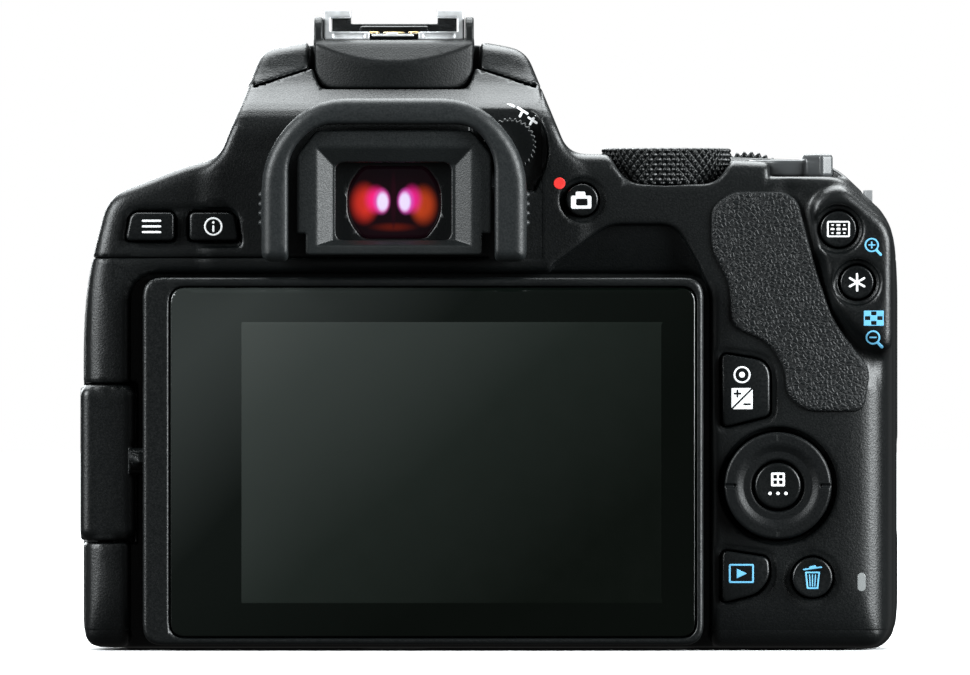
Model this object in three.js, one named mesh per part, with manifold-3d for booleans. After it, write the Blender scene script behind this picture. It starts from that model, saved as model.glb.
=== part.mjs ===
// A small reflex camera body with a swing-out screen, a pop-up flash and an open lens mount.
// Millimetres. +X is to the right seen from behind, +Y is along the lens axis to the front, +Z is up.
// The origin is the middle of the bounding box's bottom face, so the camera stands on Z = 0.
import * as THREE from "three";
import { mergeVertices } from "three/addons/utils/BufferGeometryUtils.js";
import Module from "manifold-3d";

const wasm = await Module();
wasm.setup();

// ---------------------------------------------------------------- driving dimensions
const WIDTH = 122.6;
const DEPTH = 70;
const HALF_WIDTH = WIDTH / 2;
const REAR_END = -DEPTH / 2; // back of the rubber eyecup
const FRONT_END = DEPTH / 2; // tip of the flash nose
const GAP = 0.3; // clearance between neighbouring pieces
const WALL = 2; // thickness of the moulded covers

const BODY_REAR = -26;
const BODY_FRONT = 14.5;
const BOSS_FRONT = 30.8;
const MOUNT_FACE = 33;
const SENSOR_Y = MOUNT_FACE - 44; // flange distance of the lens mount
const LENS = { x: -14.1, z: 38 }; // the lens axis runs along Y
const EYE_Z = 67.4; // height of the viewfinder's axis

const COVER_SEAM_Y = -6; // rear cover behind it, front cover before it
const TOP_SEAM_Z = 59; // top cover above it
const BASE_SEAM_Z = 2.6; // base plate below it

const SCREEN = { left: -51.9, right: 32.4, bottom: 0.75, top: 56.05, rear: -29, front: -22 };
const SCREEN_MID_Y = (SCREEN.rear + SCREEN.front) / 2;
const SCREEN_MID_Z = (SCREEN.bottom + SCREEN.top) / 2;
const RECESS_FLOOR = -21;
const HINGE = { x: -57.6, y: -22.4, radius: 3.7, bottom: 16.5, top: 39.8 };

const SHOE = { left: -24.8, right: -3.6, rear: -12.5, front: 6, floor: 93.2, top: 96.4 };
const FLASH_HINGE = { y: -17.3, z: 85.6 };

const MODE_DIAL = { x: 26.9, y: -14.5, radius: 9.5, bottom: 70, top: 75.6 };
const MAIN_DIAL = { x: 39.4, z: 67.2, radius: 8, rear: 4.7, front: 10.3 };
const POWER = { x: 45.5, y: -10, radius: 6.2, bottom: 71.6, top: 73.8 };
const PAD = { x: 43.6, z: 24.7, radius: 8, hole: 3.9 };
const DIOPTRE = { x: 3.3, z: 76, radius: 4 };
const SHUTTER_BUTTON = { x: 47, y: 19, z: 69.5, radius: 5.5, tilt: Math.atan2(7, 14) };
const LOCK_PIN = { x: LENS.x - 29.8 * Math.cos(0.3), z: LENS.z - 29.8 * Math.sin(0.3) };
const RELEASE = { x: -47.8, z: 26, radius: 4.6 };
const DOOR = { left: 31, right: 55.5, rear: -14, front: 22, thickness: 2 };

// ---------------------------------------------------------------- materials
const MATERIALS = {
  shell: new THREE.MeshStandardMaterial({ color: 0x16181a, roughness: 0.55, metalness: 0 }),
  rubber: new THREE.MeshStandardMaterial({ color: 0x1b1c1e, roughness: 0.85, metalness: 0 }),
  trim: new THREE.MeshStandardMaterial({ color: 0x0c0d0e, roughness: 0.35, metalness: 0 }),
  steel: new THREE.MeshStandardMaterial({ color: 0xc9cbcc, roughness: 0.3, metalness: 1 }),
  glass: new THREE.MeshStandardMaterial({ color: 0x0e1211, roughness: 0.08, metalness: 0 }),
  inner: new THREE.MeshStandardMaterial({ color: 0x2b2d2f, roughness: 0.7, metalness: 0 }),
  board: new THREE.MeshStandardMaterial({ color: 0x14402a, roughness: 0.5, metalness: 0 }),
  gold: new THREE.MeshStandardMaterial({ color: 0xc9a24a, roughness: 0.3, metalness: 1 }),
};

// ---------------------------------------------------------------- solids
function solid(geometry) {
  const bare = geometry.clone();
  bare.deleteAttribute("normal");
  bare.deleteAttribute("uv");
  const merged = mergeVertices(bare, 1e-4);
  const vertProperties = merged.attributes.position.array;
  const triVerts = new Uint32Array(merged.index.array);
  return new wasm.Manifold(new wasm.Mesh({ numProp: 3, vertProperties, triVerts }));
}

function geometryOf(made) {
  const { vertProperties, triVerts, numProp, numVert } = made.getMesh();
  const positions = new Float32Array(numVert * 3);
  for (let i = 0; i < numVert; i++) {
    positions.set(vertProperties.subarray(i * numProp, i * numProp + 3), i * 3);
  }
  const geometry = new THREE.BufferGeometry();
  geometry.setAttribute("position", new THREE.BufferAttribute(positions, 3));
  geometry.setIndex(new THREE.BufferAttribute(triVerts, 1));
  geometry.computeVertexNormals();
  return geometry;
}

// A closed shape through [x, y, rounding] corners.
function shapeThrough(corners) {
  const shape = new THREE.Shape();
  const count = corners.length;
  const toward = (from, to, distance) => {
    const start = new THREE.Vector2(from[0], from[1]);
    const step = new THREE.Vector2(to[0], to[1]).sub(start).setLength(distance);
    return start.add(step);
  };
  const spacing = (from, to) => Math.hypot(to[0] - from[0], to[1] - from[1]);
  corners.forEach((corner, i) => {
    const before = corners[(i + count - 1) % count];
    const after = corners[(i + 1) % count];
    const room = 0.48 * Math.min(spacing(corner, before), spacing(corner, after));
    const rounding = Math.min(corner[2] ?? 0, room);
    const start = toward(corner, before, rounding);
    const end = toward(corner, after, rounding);
    if (i === 0) shape.moveTo(start.x, start.y);
    else shape.lineTo(start.x, start.y);
    if (rounding) shape.quadraticCurveTo(corner[0], corner[1], end.x, end.y);
  });
  shape.closePath();
  return shape;
}

const rectangle = (x0, y0, x1, y1, r = 0) =>
  [[x0, y0, r], [x1, y0, r], [x1, y1, r], [x0, y1, r]];

// The same corners drawn in by inset, or out where it is negative.
function drawnIn(corners, inset) {
  const count = corners.length;
  const next = (i) => corners[(i + 1) % count];
  const area = corners.reduce((sum, [x, y], i) => sum + x * next(i)[1] - next(i)[0] * y, 0);
  const sides = corners.map(([x, y], i) => {
    const side = new THREE.Vector2(next(i)[0] - x, next(i)[1] - y).normalize();
    return side.multiplyScalar(Math.sign(area));
  });
  return corners.map(([x, y, rounding = 0], i) => {
    const a = sides[(i + count - 1) % count];
    const b = sides[i];
    const reach = inset / (1 + a.dot(b));
    return [x - (a.y + b.y) * reach, y + (a.x + b.x) * reach, Math.max(0, rounding - inset)];
  });
}

// An outline extruded for a length, its two ends bevelled, and drawn in on all sides by inset.
function slab(outline, length, bevel, inset) {
  let shape = outline;
  if (Array.isArray(outline)) {
    const corners = drawnIn(outline, inset).map(([x, y, r]) => [x, y, r < 1.5 * bevel ? 0 : r]);
    shape = shapeThrough(corners);
  }
  const geometry = new THREE.ExtrudeGeometry(shape, {
    depth: length - 2 * (bevel + inset),
    curveSegments: 3,
    bevelEnabled: bevel > 0,
    bevelThickness: bevel,
    bevelSize: bevel,
    bevelOffset: -bevel,
    bevelSegments: bevel > 1.5 ? 3 : 1,
  });
  return geometry.translate(0, 0, bevel + inset);
}

const axes = (x, y, z) => new THREE.Matrix4().makeBasis(x, y, z);
const UNIT = {
  x: new THREE.Vector3(1, 0, 0),
  y: new THREE.Vector3(0, 1, 0),
  z: new THREE.Vector3(0, 0, 1),
};

// The outline's own x, y lie along Y, Z (alongX), X, Z (alongY) or X, Y (alongZ).
const alongX = (shape, x0, x1, bevel = 0, inset = 0) =>
  solid(slab(shape, x1 - x0, bevel, inset).applyMatrix4(axes(UNIT.y, UNIT.z, UNIT.x)).translate(x0, 0, 0));
const alongY = (shape, y0, y1, bevel = 0, inset = 0) =>
  solid(slab(shape, y1 - y0, bevel, inset).rotateX(Math.PI / 2).translate(0, y1, 0));
const alongZ = (shape, z0, z1, bevel = 0, inset = 0) =>
  solid(slab(shape, z1 - z0, bevel, inset).translate(0, 0, z0));

const rod = (radius, length, sides) => new THREE.CylinderGeometry(radius, radius, length, sides);
const rodX = (y, z, radius, x0, x1, sides = 24) =>
  solid(rod(radius, x1 - x0, sides).rotateZ(Math.PI / 2).translate((x0 + x1) / 2, y, z));
const rodY = (x, z, radius, y0, y1, sides = 24) =>
  solid(rod(radius, y1 - y0, sides).translate(x, (y0 + y1) / 2, z));
const rodZ = (x, y, radius, z0, z1, sides = 24) =>
  solid(rod(radius, z1 - z0, sides).rotateX(Math.PI / 2).translate(x, y, (z0 + z1) / 2));

function box(x0, x1, y0, y1, z0, z1) {
  const geometry = new THREE.BoxGeometry(x1 - x0, y1 - y0, z1 - z0);
  return solid(geometry.translate((x0 + x1) / 2, (y0 + y1) / 2, (z0 + z1) / 2));
}

const join = (first, ...others) => others.reduce((sum, other) => sum.add(other), first);
const cut = (first, ...others) => others.reduce((rest, other) => rest.subtract(other), first);

const camera = new THREE.Group();
camera.name = "camera";

function place(name, made, material) {
  const mesh = new THREE.Mesh(geometryOf(made), MATERIALS[material]);
  mesh.name = name;
  camera.add(mesh);
  return mesh;
}

// ---------------------------------------------------------------- outer form
const REAR_OUTLINE = [
  [-HALF_WIDTH, 0, 7], [HALF_WIDTH, 0, 7], [HALF_WIDTH, 56, 4], [60.8, 64, 3], [51, 73.2, 3],
  [15, 74.6, 6], [-42, 74.2, 6], [-57.2, 68.2, 2.5], [-HALF_WIDTH, 52, 10],
];
const FRONT_OUTLINE = [
  [-60.2, 0, 7], [HALF_WIDTH, 0, 7], [HALF_WIDTH, 56, 3.5], [60.4, 63, 3], [50.5, 72.6, 3],
  [15, 74.2, 6], [-42, 71.2, 6], [-54.5, 63.5, 5], [-60.2, 50, 8],
];
const HUMP_BACK_VIEW = [
  [-42, 55], [14, 55], [14, 70], [5.8, 89.6, 3],
  [-2.4, 92.2, 2], [-25.8, 92.2, 2], [-34, 89.6, 3], [-42, 70],
];
const HUMP_SIDE_VIEW = [
  [BODY_REAR, 55], [BOSS_FRONT, 55], [BOSS_FRONT, 71.4, 2], [FRONT_END, 78, 3], [FRONT_END, 83.6, 3],
  [14, 92.2, 8], [-13, 92.2, 2], [-17, 86, 3], [BODY_REAR, 80, 3],
];
const GRIP_PLAN = [
  [27, -5], [HALF_WIDTH, -5], [HALF_WIDTH, 20, 9], [52, 31, 9], [40, 31, 4], [33, 28, 5], [27, 14.5],
];
const GRIP_SIDE_VIEW = [
  [-5, 0], [28, 0, 3], [31, 8, 6], [31, 60, 4], [26, 66, 3], [12, 73, 2], [-5, 73],
];
const BOSS_RADIUS = 36.5;
const POD_RADIUS = 7;

// The camera's outer form, drawn in on all sides by inset.
function bodyForm(inset) {
  const edge = 3.2;
  const chamfer = 0.8;
  const rear = alongY(REAR_OUTLINE, BODY_REAR, 2, edge, inset);
  const front = alongY(FRONT_OUTLINE, -12, BODY_FRONT, edge, inset);
  const hump = alongY(HUMP_BACK_VIEW, BODY_REAR, FRONT_END, chamfer, inset).intersect(
    alongX(HUMP_SIDE_VIEW, -43, 15, chamfer, inset),
  );
  const grip = alongZ(GRIP_PLAN, 0, 75, chamfer, inset).intersect(
    alongX(GRIP_SIDE_VIEW, 26, HALF_WIDTH, chamfer, inset),
  );
  const boss = rodY(LENS.x, LENS.z, BOSS_RADIUS - inset, 0, BOSS_FRONT - inset, 40);
  const pod = rodY(RELEASE.x, RELEASE.z, POD_RADIUS - inset, 0, 25 - inset, 20);
  return join(rear, front, hump, grip, boss, pod);
}

// ---------------------------------------------------------------- hollows in the outer form
const FLASH_BACK_VIEW = [[-40, 83.4], [-26.5, 87.8], [-1.7, 87.8], [11.8, 83.4], [11.8, 99], [-40, 99]];
const FLASH_SIDE_VIEW = [[8.6, 84], [20, 76.5], [32, 83.2], [37, 83.2], [37, 99], [8.6, 99]];

// The space that the lowered flash takes, grown by the given clearance.
function flashSpace(clearance) {
  const arms = alongY(FLASH_BACK_VIEW, -30, 10).translate(0, 0, -clearance);
  const nose = alongX(FLASH_SIDE_VIEW, -44, 16).translate(0, -clearance, -clearance);
  const hinge = rodX(FLASH_HINGE.y, FLASH_HINGE.z, 2.1 + clearance, -44, 16, 16);
  return join(arms, nose, hinge);
}

const shoeSpace = box(-26.7, -1.5, -30, 8.6, 80, 100);
const NOTCH = [[9.5, 56.3], [18.3, 63.8, 3], [28.5, 63.8, 4], [32.2, 56.3], [32.2, 40], [9.5, 40]];

// Each well is what is open to the outside; grown by a wall it is also what the inside gives up.
function wells(grow) {
  const g = grow;
  const screen = rectangle(SCREEN.left - 2 - g, -5, SCREEN.right + 1.1 + g, SCREEN.top + 0.5 + g, 1.5);
  const notch = NOTCH.map(([x, z, r]) => [x + Math.sign(x - 20) * g, z + (z > 60 ? g : 0), r]);
  const dialNotch = [
    [20.5 - g, 79], [21.5 - g, 70.2 - g, 3], [33.5 + g, 70.2 - g, 3], [35.2 + g, 79],
  ];
  const hinge = box(-70, HINGE.x + 4.5 + g, -40, -17.9 + g, HINGE.bottom - GAP - g, HINGE.top + GAP + g);
  const leverFloor = POWER.bottom - 0.4;
  return join(
    alongY(screen, -40, RECESS_FLOOR + g),
    alongY(notch, -40, -23.4 + g),
    hinge,
    rodZ(MODE_DIAL.x, MODE_DIAL.y, MODE_DIAL.radius + 0.5 + g, MODE_DIAL.bottom - 0.4 - g, 80, 32),
    alongY(dialNotch, -40, MODE_DIAL.y),
    rodY(
      MAIN_DIAL.x, MAIN_DIAL.z, MAIN_DIAL.radius + 0.4 + g,
      MAIN_DIAL.rear - 0.4 - g, MAIN_DIAL.front + 0.4 + g,
    ),
    rodZ(POWER.x, POWER.y, POWER.radius + 0.4 + g, POWER.bottom - 0.4 - g, 80),
    rodZ(POWER.x, POWER.y, 10.4 + g, leverFloor - g, 80).intersect(box(43 - g, 60, -30, -2 + g, 60, 80)),
    box(42.6 - g, 62, -40, POWER.y, leverFloor - g, 80),
    rodY(DIOPTRE.x, DIOPTRE.z, DIOPTRE.radius + GAP + g, -40, -24.2 + g, 20),
    box(-70, -58.8 + g, -4.8 - g, 10.8 + g, 17.7 - g, 50.3 + g),
    box(59.2 - g, 70, -4.3 - g, 4.3 + g, 17.7 - g, 31.3 + g),
  );
}

const EYEPIECE = { halfWidth: 10, bottom: 60, top: 75, rear: -29.5 };
const outer = cut(bodyForm(0), wells(0), flashSpace(GAP), shoeSpace);
const inner = cut(bodyForm(WALL), wells(1.6), flashSpace(GAP + 1.6), box(-28.3, 0.1, -30, 10.2, 78.4, 100));
const shell = cut(outer, inner);
const lensOpening = rodY(LENS.x, LENS.z, 28.6, 20, 40, 48);
const lockClearance = rodY(LOCK_PIN.x, LOCK_PIN.z, 1.6, 20, 40, 12);
const eyeOpening = box(
  LENS.x - EYEPIECE.halfWidth - GAP, LENS.x + EYEPIECE.halfWidth + GAP, -40, -20,
  EYEPIECE.bottom - GAP, EYEPIECE.top + GAP,
);

// ---------------------------------------------------------------- buttons
const circle = (x, y, radius) => new THREE.Shape().absarc(x, y, radius, 0, 2 * Math.PI);
const MENU_CAP = [[-54.5, 61.6, 0.6], [-47.2, 61.6, 0.6], [-47.2, 65.8, 0.6], [-53.7, 65.8, 1]];
const INFO_CAP = [[-44.9, 61.6, 0.6], [-37.5, 61.6, 0.6], [-38.2, 65.8, 1], [-44.9, 65.8, 0.6]];
const EXPOSURE_CAP = [[35.1, 44.6, 0.8], [35.3, 33.5, 0.8], [42.4, 35.3, 0.8], [42.4, 43.4, 2]];
const PLAYBACK_CAP = [[35.2, 15, 0.8], [35.2, 7.1, 0.8], [40.6, 8.5, 2], [42.4, 11, 1], [42.2, 13.9, 0.8]];
const BUTTONS = [
  { name: "menu_button", cover: "top", corners: MENU_CAP },
  { name: "info_button", cover: "top", corners: INFO_CAP },
  { name: "live_view_button", cover: "rear", round: [14.15, 67.7, 2.4] },
  { name: "focus_point_button", cover: "rear", round: [52.7, 63.3, 2.7] },
  { name: "exposure_lock_button", cover: "rear", round: [55.5, 55.3, 2.5] },
  { name: "exposure_button", cover: "rear", corners: EXPOSURE_CAP },
  { name: "playback_button", cover: "rear", corners: PLAYBACK_CAP },
  { name: "erase_button", cover: "rear", round: [48.8, 10.9, 3] },
];
const BUTTON_REAR = BODY_REAR - 0.5;

// A button's cap drawn in or out by grow.
function buttonForm(button, grow, y0, y1) {
  if (button.round) {
    const [x, z, radius] = button.round;
    return rodY(x, z, radius + grow, y0, y1, 20);
  }
  return alongY(drawnIn(button.corners, -grow), y0, y1);
}

function makeButtons() {
  for (const button of BUTTONS) {
    const cap = buttonForm(button, 0, BUTTON_REAR, BODY_REAR + WALL + 0.4);
    const flange = buttonForm(button, 0.8, BODY_REAR + WALL + 0.25, BODY_REAR + WALL + 1);
    place(button.name, join(cap, flange), "trim");
  }
}

const buttonHoles = (cover) =>
  BUTTONS.filter((button) => button.cover === cover).map((button) =>
    join(
      buttonForm(button, GAP, -30, BODY_REAR + WALL + 0.1),
      buttonForm(button, 1.1, BODY_REAR + WALL, BODY_REAR + WALL + 2.5),
    ),
  );

// ---------------------------------------------------------------- covers
const upperRearWall = box(8, 70, -40, -18, TOP_SEAM_Z - 1, 90);
const lowerRear = box(-70, 70, -40, COVER_SEAM_Y - GAP / 2, BASE_SEAM_Z + GAP, TOP_SEAM_Z - GAP / 2);
const lowerFront = box(-70, 70, COVER_SEAM_Y + GAP / 2, 50, BASE_SEAM_Z + GAP, TOP_SEAM_Z - GAP / 2);
const upper = box(-70, 70, -40, 50, TOP_SEAM_Z + GAP / 2, 100);
const dialWellZone = (grow) => box(32 - grow, 47 + grow, 1.5 - grow, 13.5 + grow, 56, 60);

const THUMB_PAD = [
  [33.6, 66.6, 1.5], [33.6, 60.2, 2], [36.4, 55, 2], [36.5, 48.6, 2], [42.5, 45.8, 2.5], [44.8, 41.8, 2],
  [44.8, 38.6, 2], [47.6, 35.8, 2], [56.6, 35.8, 1.8], [57.6, 42.2, 1.6], [52, 49.4, 3], [49.2, 58, 3],
  [46.6, 67.6, 2], [44.6, 69, 1.5], [37.4, 69, 1.5],
];
const thumbPocket = alongY(drawnIn(THUMB_PAD, -0.25), -30, BODY_REAR + 1);

function makeRearCover() {
  const region = join(lowerRear, upperRearWall);
  const pinHole = rodZ(HINGE.x, HINGE.y, 1.5, HINGE.bottom - 2.2, HINGE.top + 2.2, 12);
  const padHole = rodY(PAD.x, PAD.z, PAD.radius + 0.35, -30, -20, 32);
  const made = cut(
    shell.intersect(region), thumbPocket, pinHole, padHole, eyeOpening, ...buttonHoles("rear"),
    box(28.7, 58, -16.3, -1, -1, 4),
  );
  place("rear_cover", made, "shell");
}

const gripRubberSpace = box(29.5, 70, 6, 50, 6, 55.6);

function makeFrontCover() {
  const terminalWindow = box(-60, -55, -2.3, 9.3, 23.7, 46.3);
  const releaseHole = rodY(RELEASE.x, RELEASE.z, RELEASE.radius + GAP, 20, 40, 24);
  const rubberBed = cut(bodyForm(0), bodyForm(1.2)).intersect(gripRubberSpace);
  const openings = [lensOpening, lockClearance, lugSlotLeft, terminalWindow, releaseHole, rubberBed];
  const made = cut(shell.intersect(lowerFront), dialWellZone(GAP), ...openings);
  place("front_cover", made, "shell");
  const rubber = cut(bodyForm(0), bodyForm(0.9)).intersect(box(29.8, 70, 6.3, 50, 6.3, 55.3));
  place("grip_rubber", rubber, "rubber");
}

function makeTopCover() {
  const stemHole = rodZ(MODE_DIAL.x, MODE_DIAL.y, 2.4, 60, 75, 12);
  const axleHole = rodY(MAIN_DIAL.x, MAIN_DIAL.z, 1.5, MAIN_DIAL.rear - 2.2, MAIN_DIAL.front + 2.2, 12);
  const powerHole = rodZ(POWER.x, POWER.y, 2.4, 60, 75, 12);
  const made = cut(
    shell.intersect(join(cut(upper, box(8 - GAP, 70, -40, -18 + GAP, 40, 90)), dialWellZone(0))),
    lensOpening, eyeOpening, stemHole, axleHole, powerHole, shutterButtonSpace, lugSlotRight, lugSlotLeft,
    ...TOP_BUTTONS.map(([, x, y]) => rodZ(x, y, TOP_BUTTON_RADIUS + GAP, 66, 80, 16)),
    ...buttonHoles("top"),
  );
  place("top_cover", made, "shell");
}

function makeBasePlate() {
  const region = box(-70, 70, -40, 50, -1, BASE_SEAM_Z);
  const doorSpace = box(DOOR.left - GAP, DOOR.right + GAP, DOOR.rear - GAP, DOOR.front + GAP, -1, 4);
  const socketHole = rodZ(LENS.x, 4, 5.3, -1, 4);
  place("base_plate", cut(shell.intersect(region), doorSpace, socketHole), "shell");
}

// ---------------------------------------------------------------- screen
function makeScreen() {
  const barrel = rodZ(HINGE.x, HINGE.y, HINGE.radius, HINGE.bottom, HINGE.top, 28);
  const arm = alongZ(rectangle(HINGE.x, -26.1, -53.1, -20.6, 0.8), HINGE.bottom, HINGE.top, 0.3);
  const pin = rodZ(HINGE.x, HINGE.y, 1.2, HINGE.bottom - 1.6, HINGE.top + 1.6, 12);
  const tiltShaft = rodX(SCREEN_MID_Y, SCREEN_MID_Z, 2, -54, -50.4, 16);
  const tiltWell = join(
    rodX(SCREEN_MID_Y, SCREEN_MID_Z, 2.4, SCREEN.left - 1, -50, 16),
  );
  place("screen_hinge", join(barrel, arm, pin, tiltShaft), "shell");

  const frame = alongY(
    rectangle(SCREEN.left, SCREEN.bottom, SCREEN.right, SCREEN.top, 3), SCREEN.rear, SCREEN.front, 0.9,
  );
  const glassOutline = rectangle(-47.6, 2.1, 31.1, 54.4, 2);
  const pocket = alongY(drawnIn(glassOutline, -0.25), -40, SCREEN.rear + 1.5);
  place("screen_case", cut(frame, pocket, tiltWell), "shell");
  place("screen_glass", alongY(glassOutline, SCREEN.rear + 0.1, SCREEN.rear + 1.2, 0.3), "glass");
}

// ---------------------------------------------------------------- rear controls
function makePad() {
  const ring = cut(
    rodY(PAD.x, PAD.z, PAD.radius, -27.3, -24.9, 32),
    rodY(PAD.x, PAD.z, PAD.hole, -30, -20),
    cut(rodY(PAD.x, PAD.z, 6.4, -30, -26.6, 32)),
  );
  const rocker = cut(rodY(PAD.x, PAD.z, 6, -24.2, -23.4), rodY(PAD.x, PAD.z, 4.1, -30, -20));
  place("direction_pad", ring, "trim");
  place("pad_rocker", rocker, "inner");
  place("set_button", rodY(PAD.x, PAD.z, 3.55, -27.4, -22.6), "trim");
}

function toothedWheel(radius, depth, teeth) {
  const shape = new THREE.Shape();
  const points = [];
  for (let i = 0; i < 2 * teeth; i++) {
    const angle = (i * Math.PI) / teeth;
    const r = radius - (i % 2) * depth;
    points.push(new THREE.Vector2(r * Math.cos(angle), r * Math.sin(angle)));
  }
  shape.setFromPoints(points);
  return shape;
}

function makeDioptreDial() {
  const wheel = solid(slab(toothedWheel(DIOPTRE.radius, 0.35, 20), 2, 0, 0).rotateX(Math.PI / 2));
  place("dioptre_dial", wheel.translate(DIOPTRE.x, -24.5, DIOPTRE.z), "trim");
}

// ---------------------------------------------------------------- top controls
const TOP_BUTTON_RADIUS = 2.1;
const TOP_BUTTONS = [["iso_button", 50, 3.2, 73.1], ["display_button", 27.5, 4, 74.1]];

function makeDials() {
  const height = MODE_DIAL.top - MODE_DIAL.bottom;
  const crown = solid(slab(toothedWheel(MODE_DIAL.radius, 0.5, 36), height, 0, 0));
  const stem = rodZ(MODE_DIAL.x, MODE_DIAL.y, 2, 66, MODE_DIAL.bottom + 1, 12);
  place("mode_dial", join(crown.translate(MODE_DIAL.x, MODE_DIAL.y, MODE_DIAL.bottom), stem), "trim");

  const width = MAIN_DIAL.front - MAIN_DIAL.rear;
  const wheel = solid(slab(toothedWheel(MAIN_DIAL.radius, 0.5, 32), width, 0, 0).rotateX(Math.PI / 2));
  const axle = rodY(MAIN_DIAL.x, MAIN_DIAL.z, 1.2, MAIN_DIAL.rear - 1.4, MAIN_DIAL.front + 1.4, 12);
  place("main_dial", join(wheel.translate(MAIN_DIAL.x, MAIN_DIAL.front, MAIN_DIAL.z), axle), "trim");
}

function makePowerLever() {
  const disc = rodZ(POWER.x, POWER.y, POWER.radius, POWER.bottom, POWER.top, 32);
  const stem = rodZ(POWER.x, POWER.y, 2, 67.5, POWER.bottom + 0.5, 12);
  const tabBase = solid(
    slab(rectangle(3, -2.3, 9.8, 2.3, 1), 3.1, 0.4, 0)
      .rotateZ(-0.95)
      .translate(POWER.x, POWER.y, POWER.bottom),
  );
  place("power_lever", join(disc, stem, tabBase), "trim");
}

function makeTopButtons() {
  for (const [name, x, y, top] of TOP_BUTTONS) {
    place(name, rodZ(x, y, TOP_BUTTON_RADIUS, 69, top + 0.9, 20), "trim");
  }
}

// The shutter button stands square to the sloping top of the grip.
const onSlope = (made) =>
  made.transform(
    new THREE.Matrix4()
      .makeTranslation(SHUTTER_BUTTON.x, SHUTTER_BUTTON.y, SHUTTER_BUTTON.z)
      .multiply(new THREE.Matrix4().makeRotationX(-SHUTTER_BUTTON.tilt)).elements,
  );
const shutterButtonSpace = onSlope(rodZ(0, 0, SHUTTER_BUTTON.radius + 0.35, -4.5, 6, 32));

function makeShutterButton() {
  const cap = rodZ(0, 0, SHUTTER_BUTTON.radius, -2.4, 1.3, 32);
  const stem = rodZ(0, 0, 2, -5, -2, 12);
  place("shutter_button", onSlope(join(cap, stem)), "trim");
}

// ---------------------------------------------------------------- shoe and flash
function makeShoe() {
  const left = SHOE.left - 1.5;
  const right = SHOE.right + 1.7;
  const sideView = [
    [-18.5, 84, 1], [-18.5, 88.6, 1], [-16.4, 91.8, 0.8], [7.9, 91.8, 0.5],
    [7.9, 88], [-14.4, 88], [-14.4, 84],
  ];
  const lipView = [[-16, 91], [5.9, 91], [5.9, 94.4, 0.5], [-15.5, 94.4, 1]];
  const base = join(
    alongX(sideView, left, right, 0.5),
    alongX(lipView, left, left + 1.1, 0.2),
    alongX(lipView, right - 1.1, right, 0.2),
  );
  place("shoe_base", base, "shell");

  const thickness = 1;
  const bottom = 92;
  const slotHalf = 9.4;
  const lipHalf = 6.3;
  const middle = (SHOE.left + SHOE.right) / 2;
  const body = alongY(
    rectangle(SHOE.left, bottom, SHOE.right, SHOE.top, 0.6), SHOE.rear, SHOE.front,
  );
  const slot = box(middle - slotHalf, middle + slotHalf, -30, 20, SHOE.floor, SHOE.top - thickness);
  const channel = box(middle - lipHalf, middle + lipHalf, -30, 20, SHOE.floor, 100);
  place("hot_shoe", cut(body, slot, channel), "steel");
}

function makeFlash() {
  const form = bodyForm(0).intersect(flashSpace(0));
  const shoeZone = box(-27, -1.2, -30, 9.4, 80, 100);
  const windowFace = { y: 26.2, z: 79.96 };
  const windowPose = new THREE.Matrix4()
    .makeTranslation(LENS.x, windowFace.y, windowFace.z)
    .multiply(new THREE.Matrix4().makeRotationX(Math.atan2(6.7, 12)));
  const pocket = box(-13.4, 13.4, -4.9, 4.9, -2, 1.5).transform(windowPose.elements);
  const trimRear = cut(
    box(-44, 16, -30, FLASH_HINGE.y, 80, FLASH_HINGE.z),
    rodX(FLASH_HINGE.y, FLASH_HINGE.z, 2.1, -44, 16, 16),
  );
  place("flash_head", cut(form, shoeZone, pocket, trimRear), "shell");
  const lens = box(-13, 13, -4.5, 4.5, 0.1, 1.1).transform(windowPose.elements);
  place("flash_window", lens, "glass");
}

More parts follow.
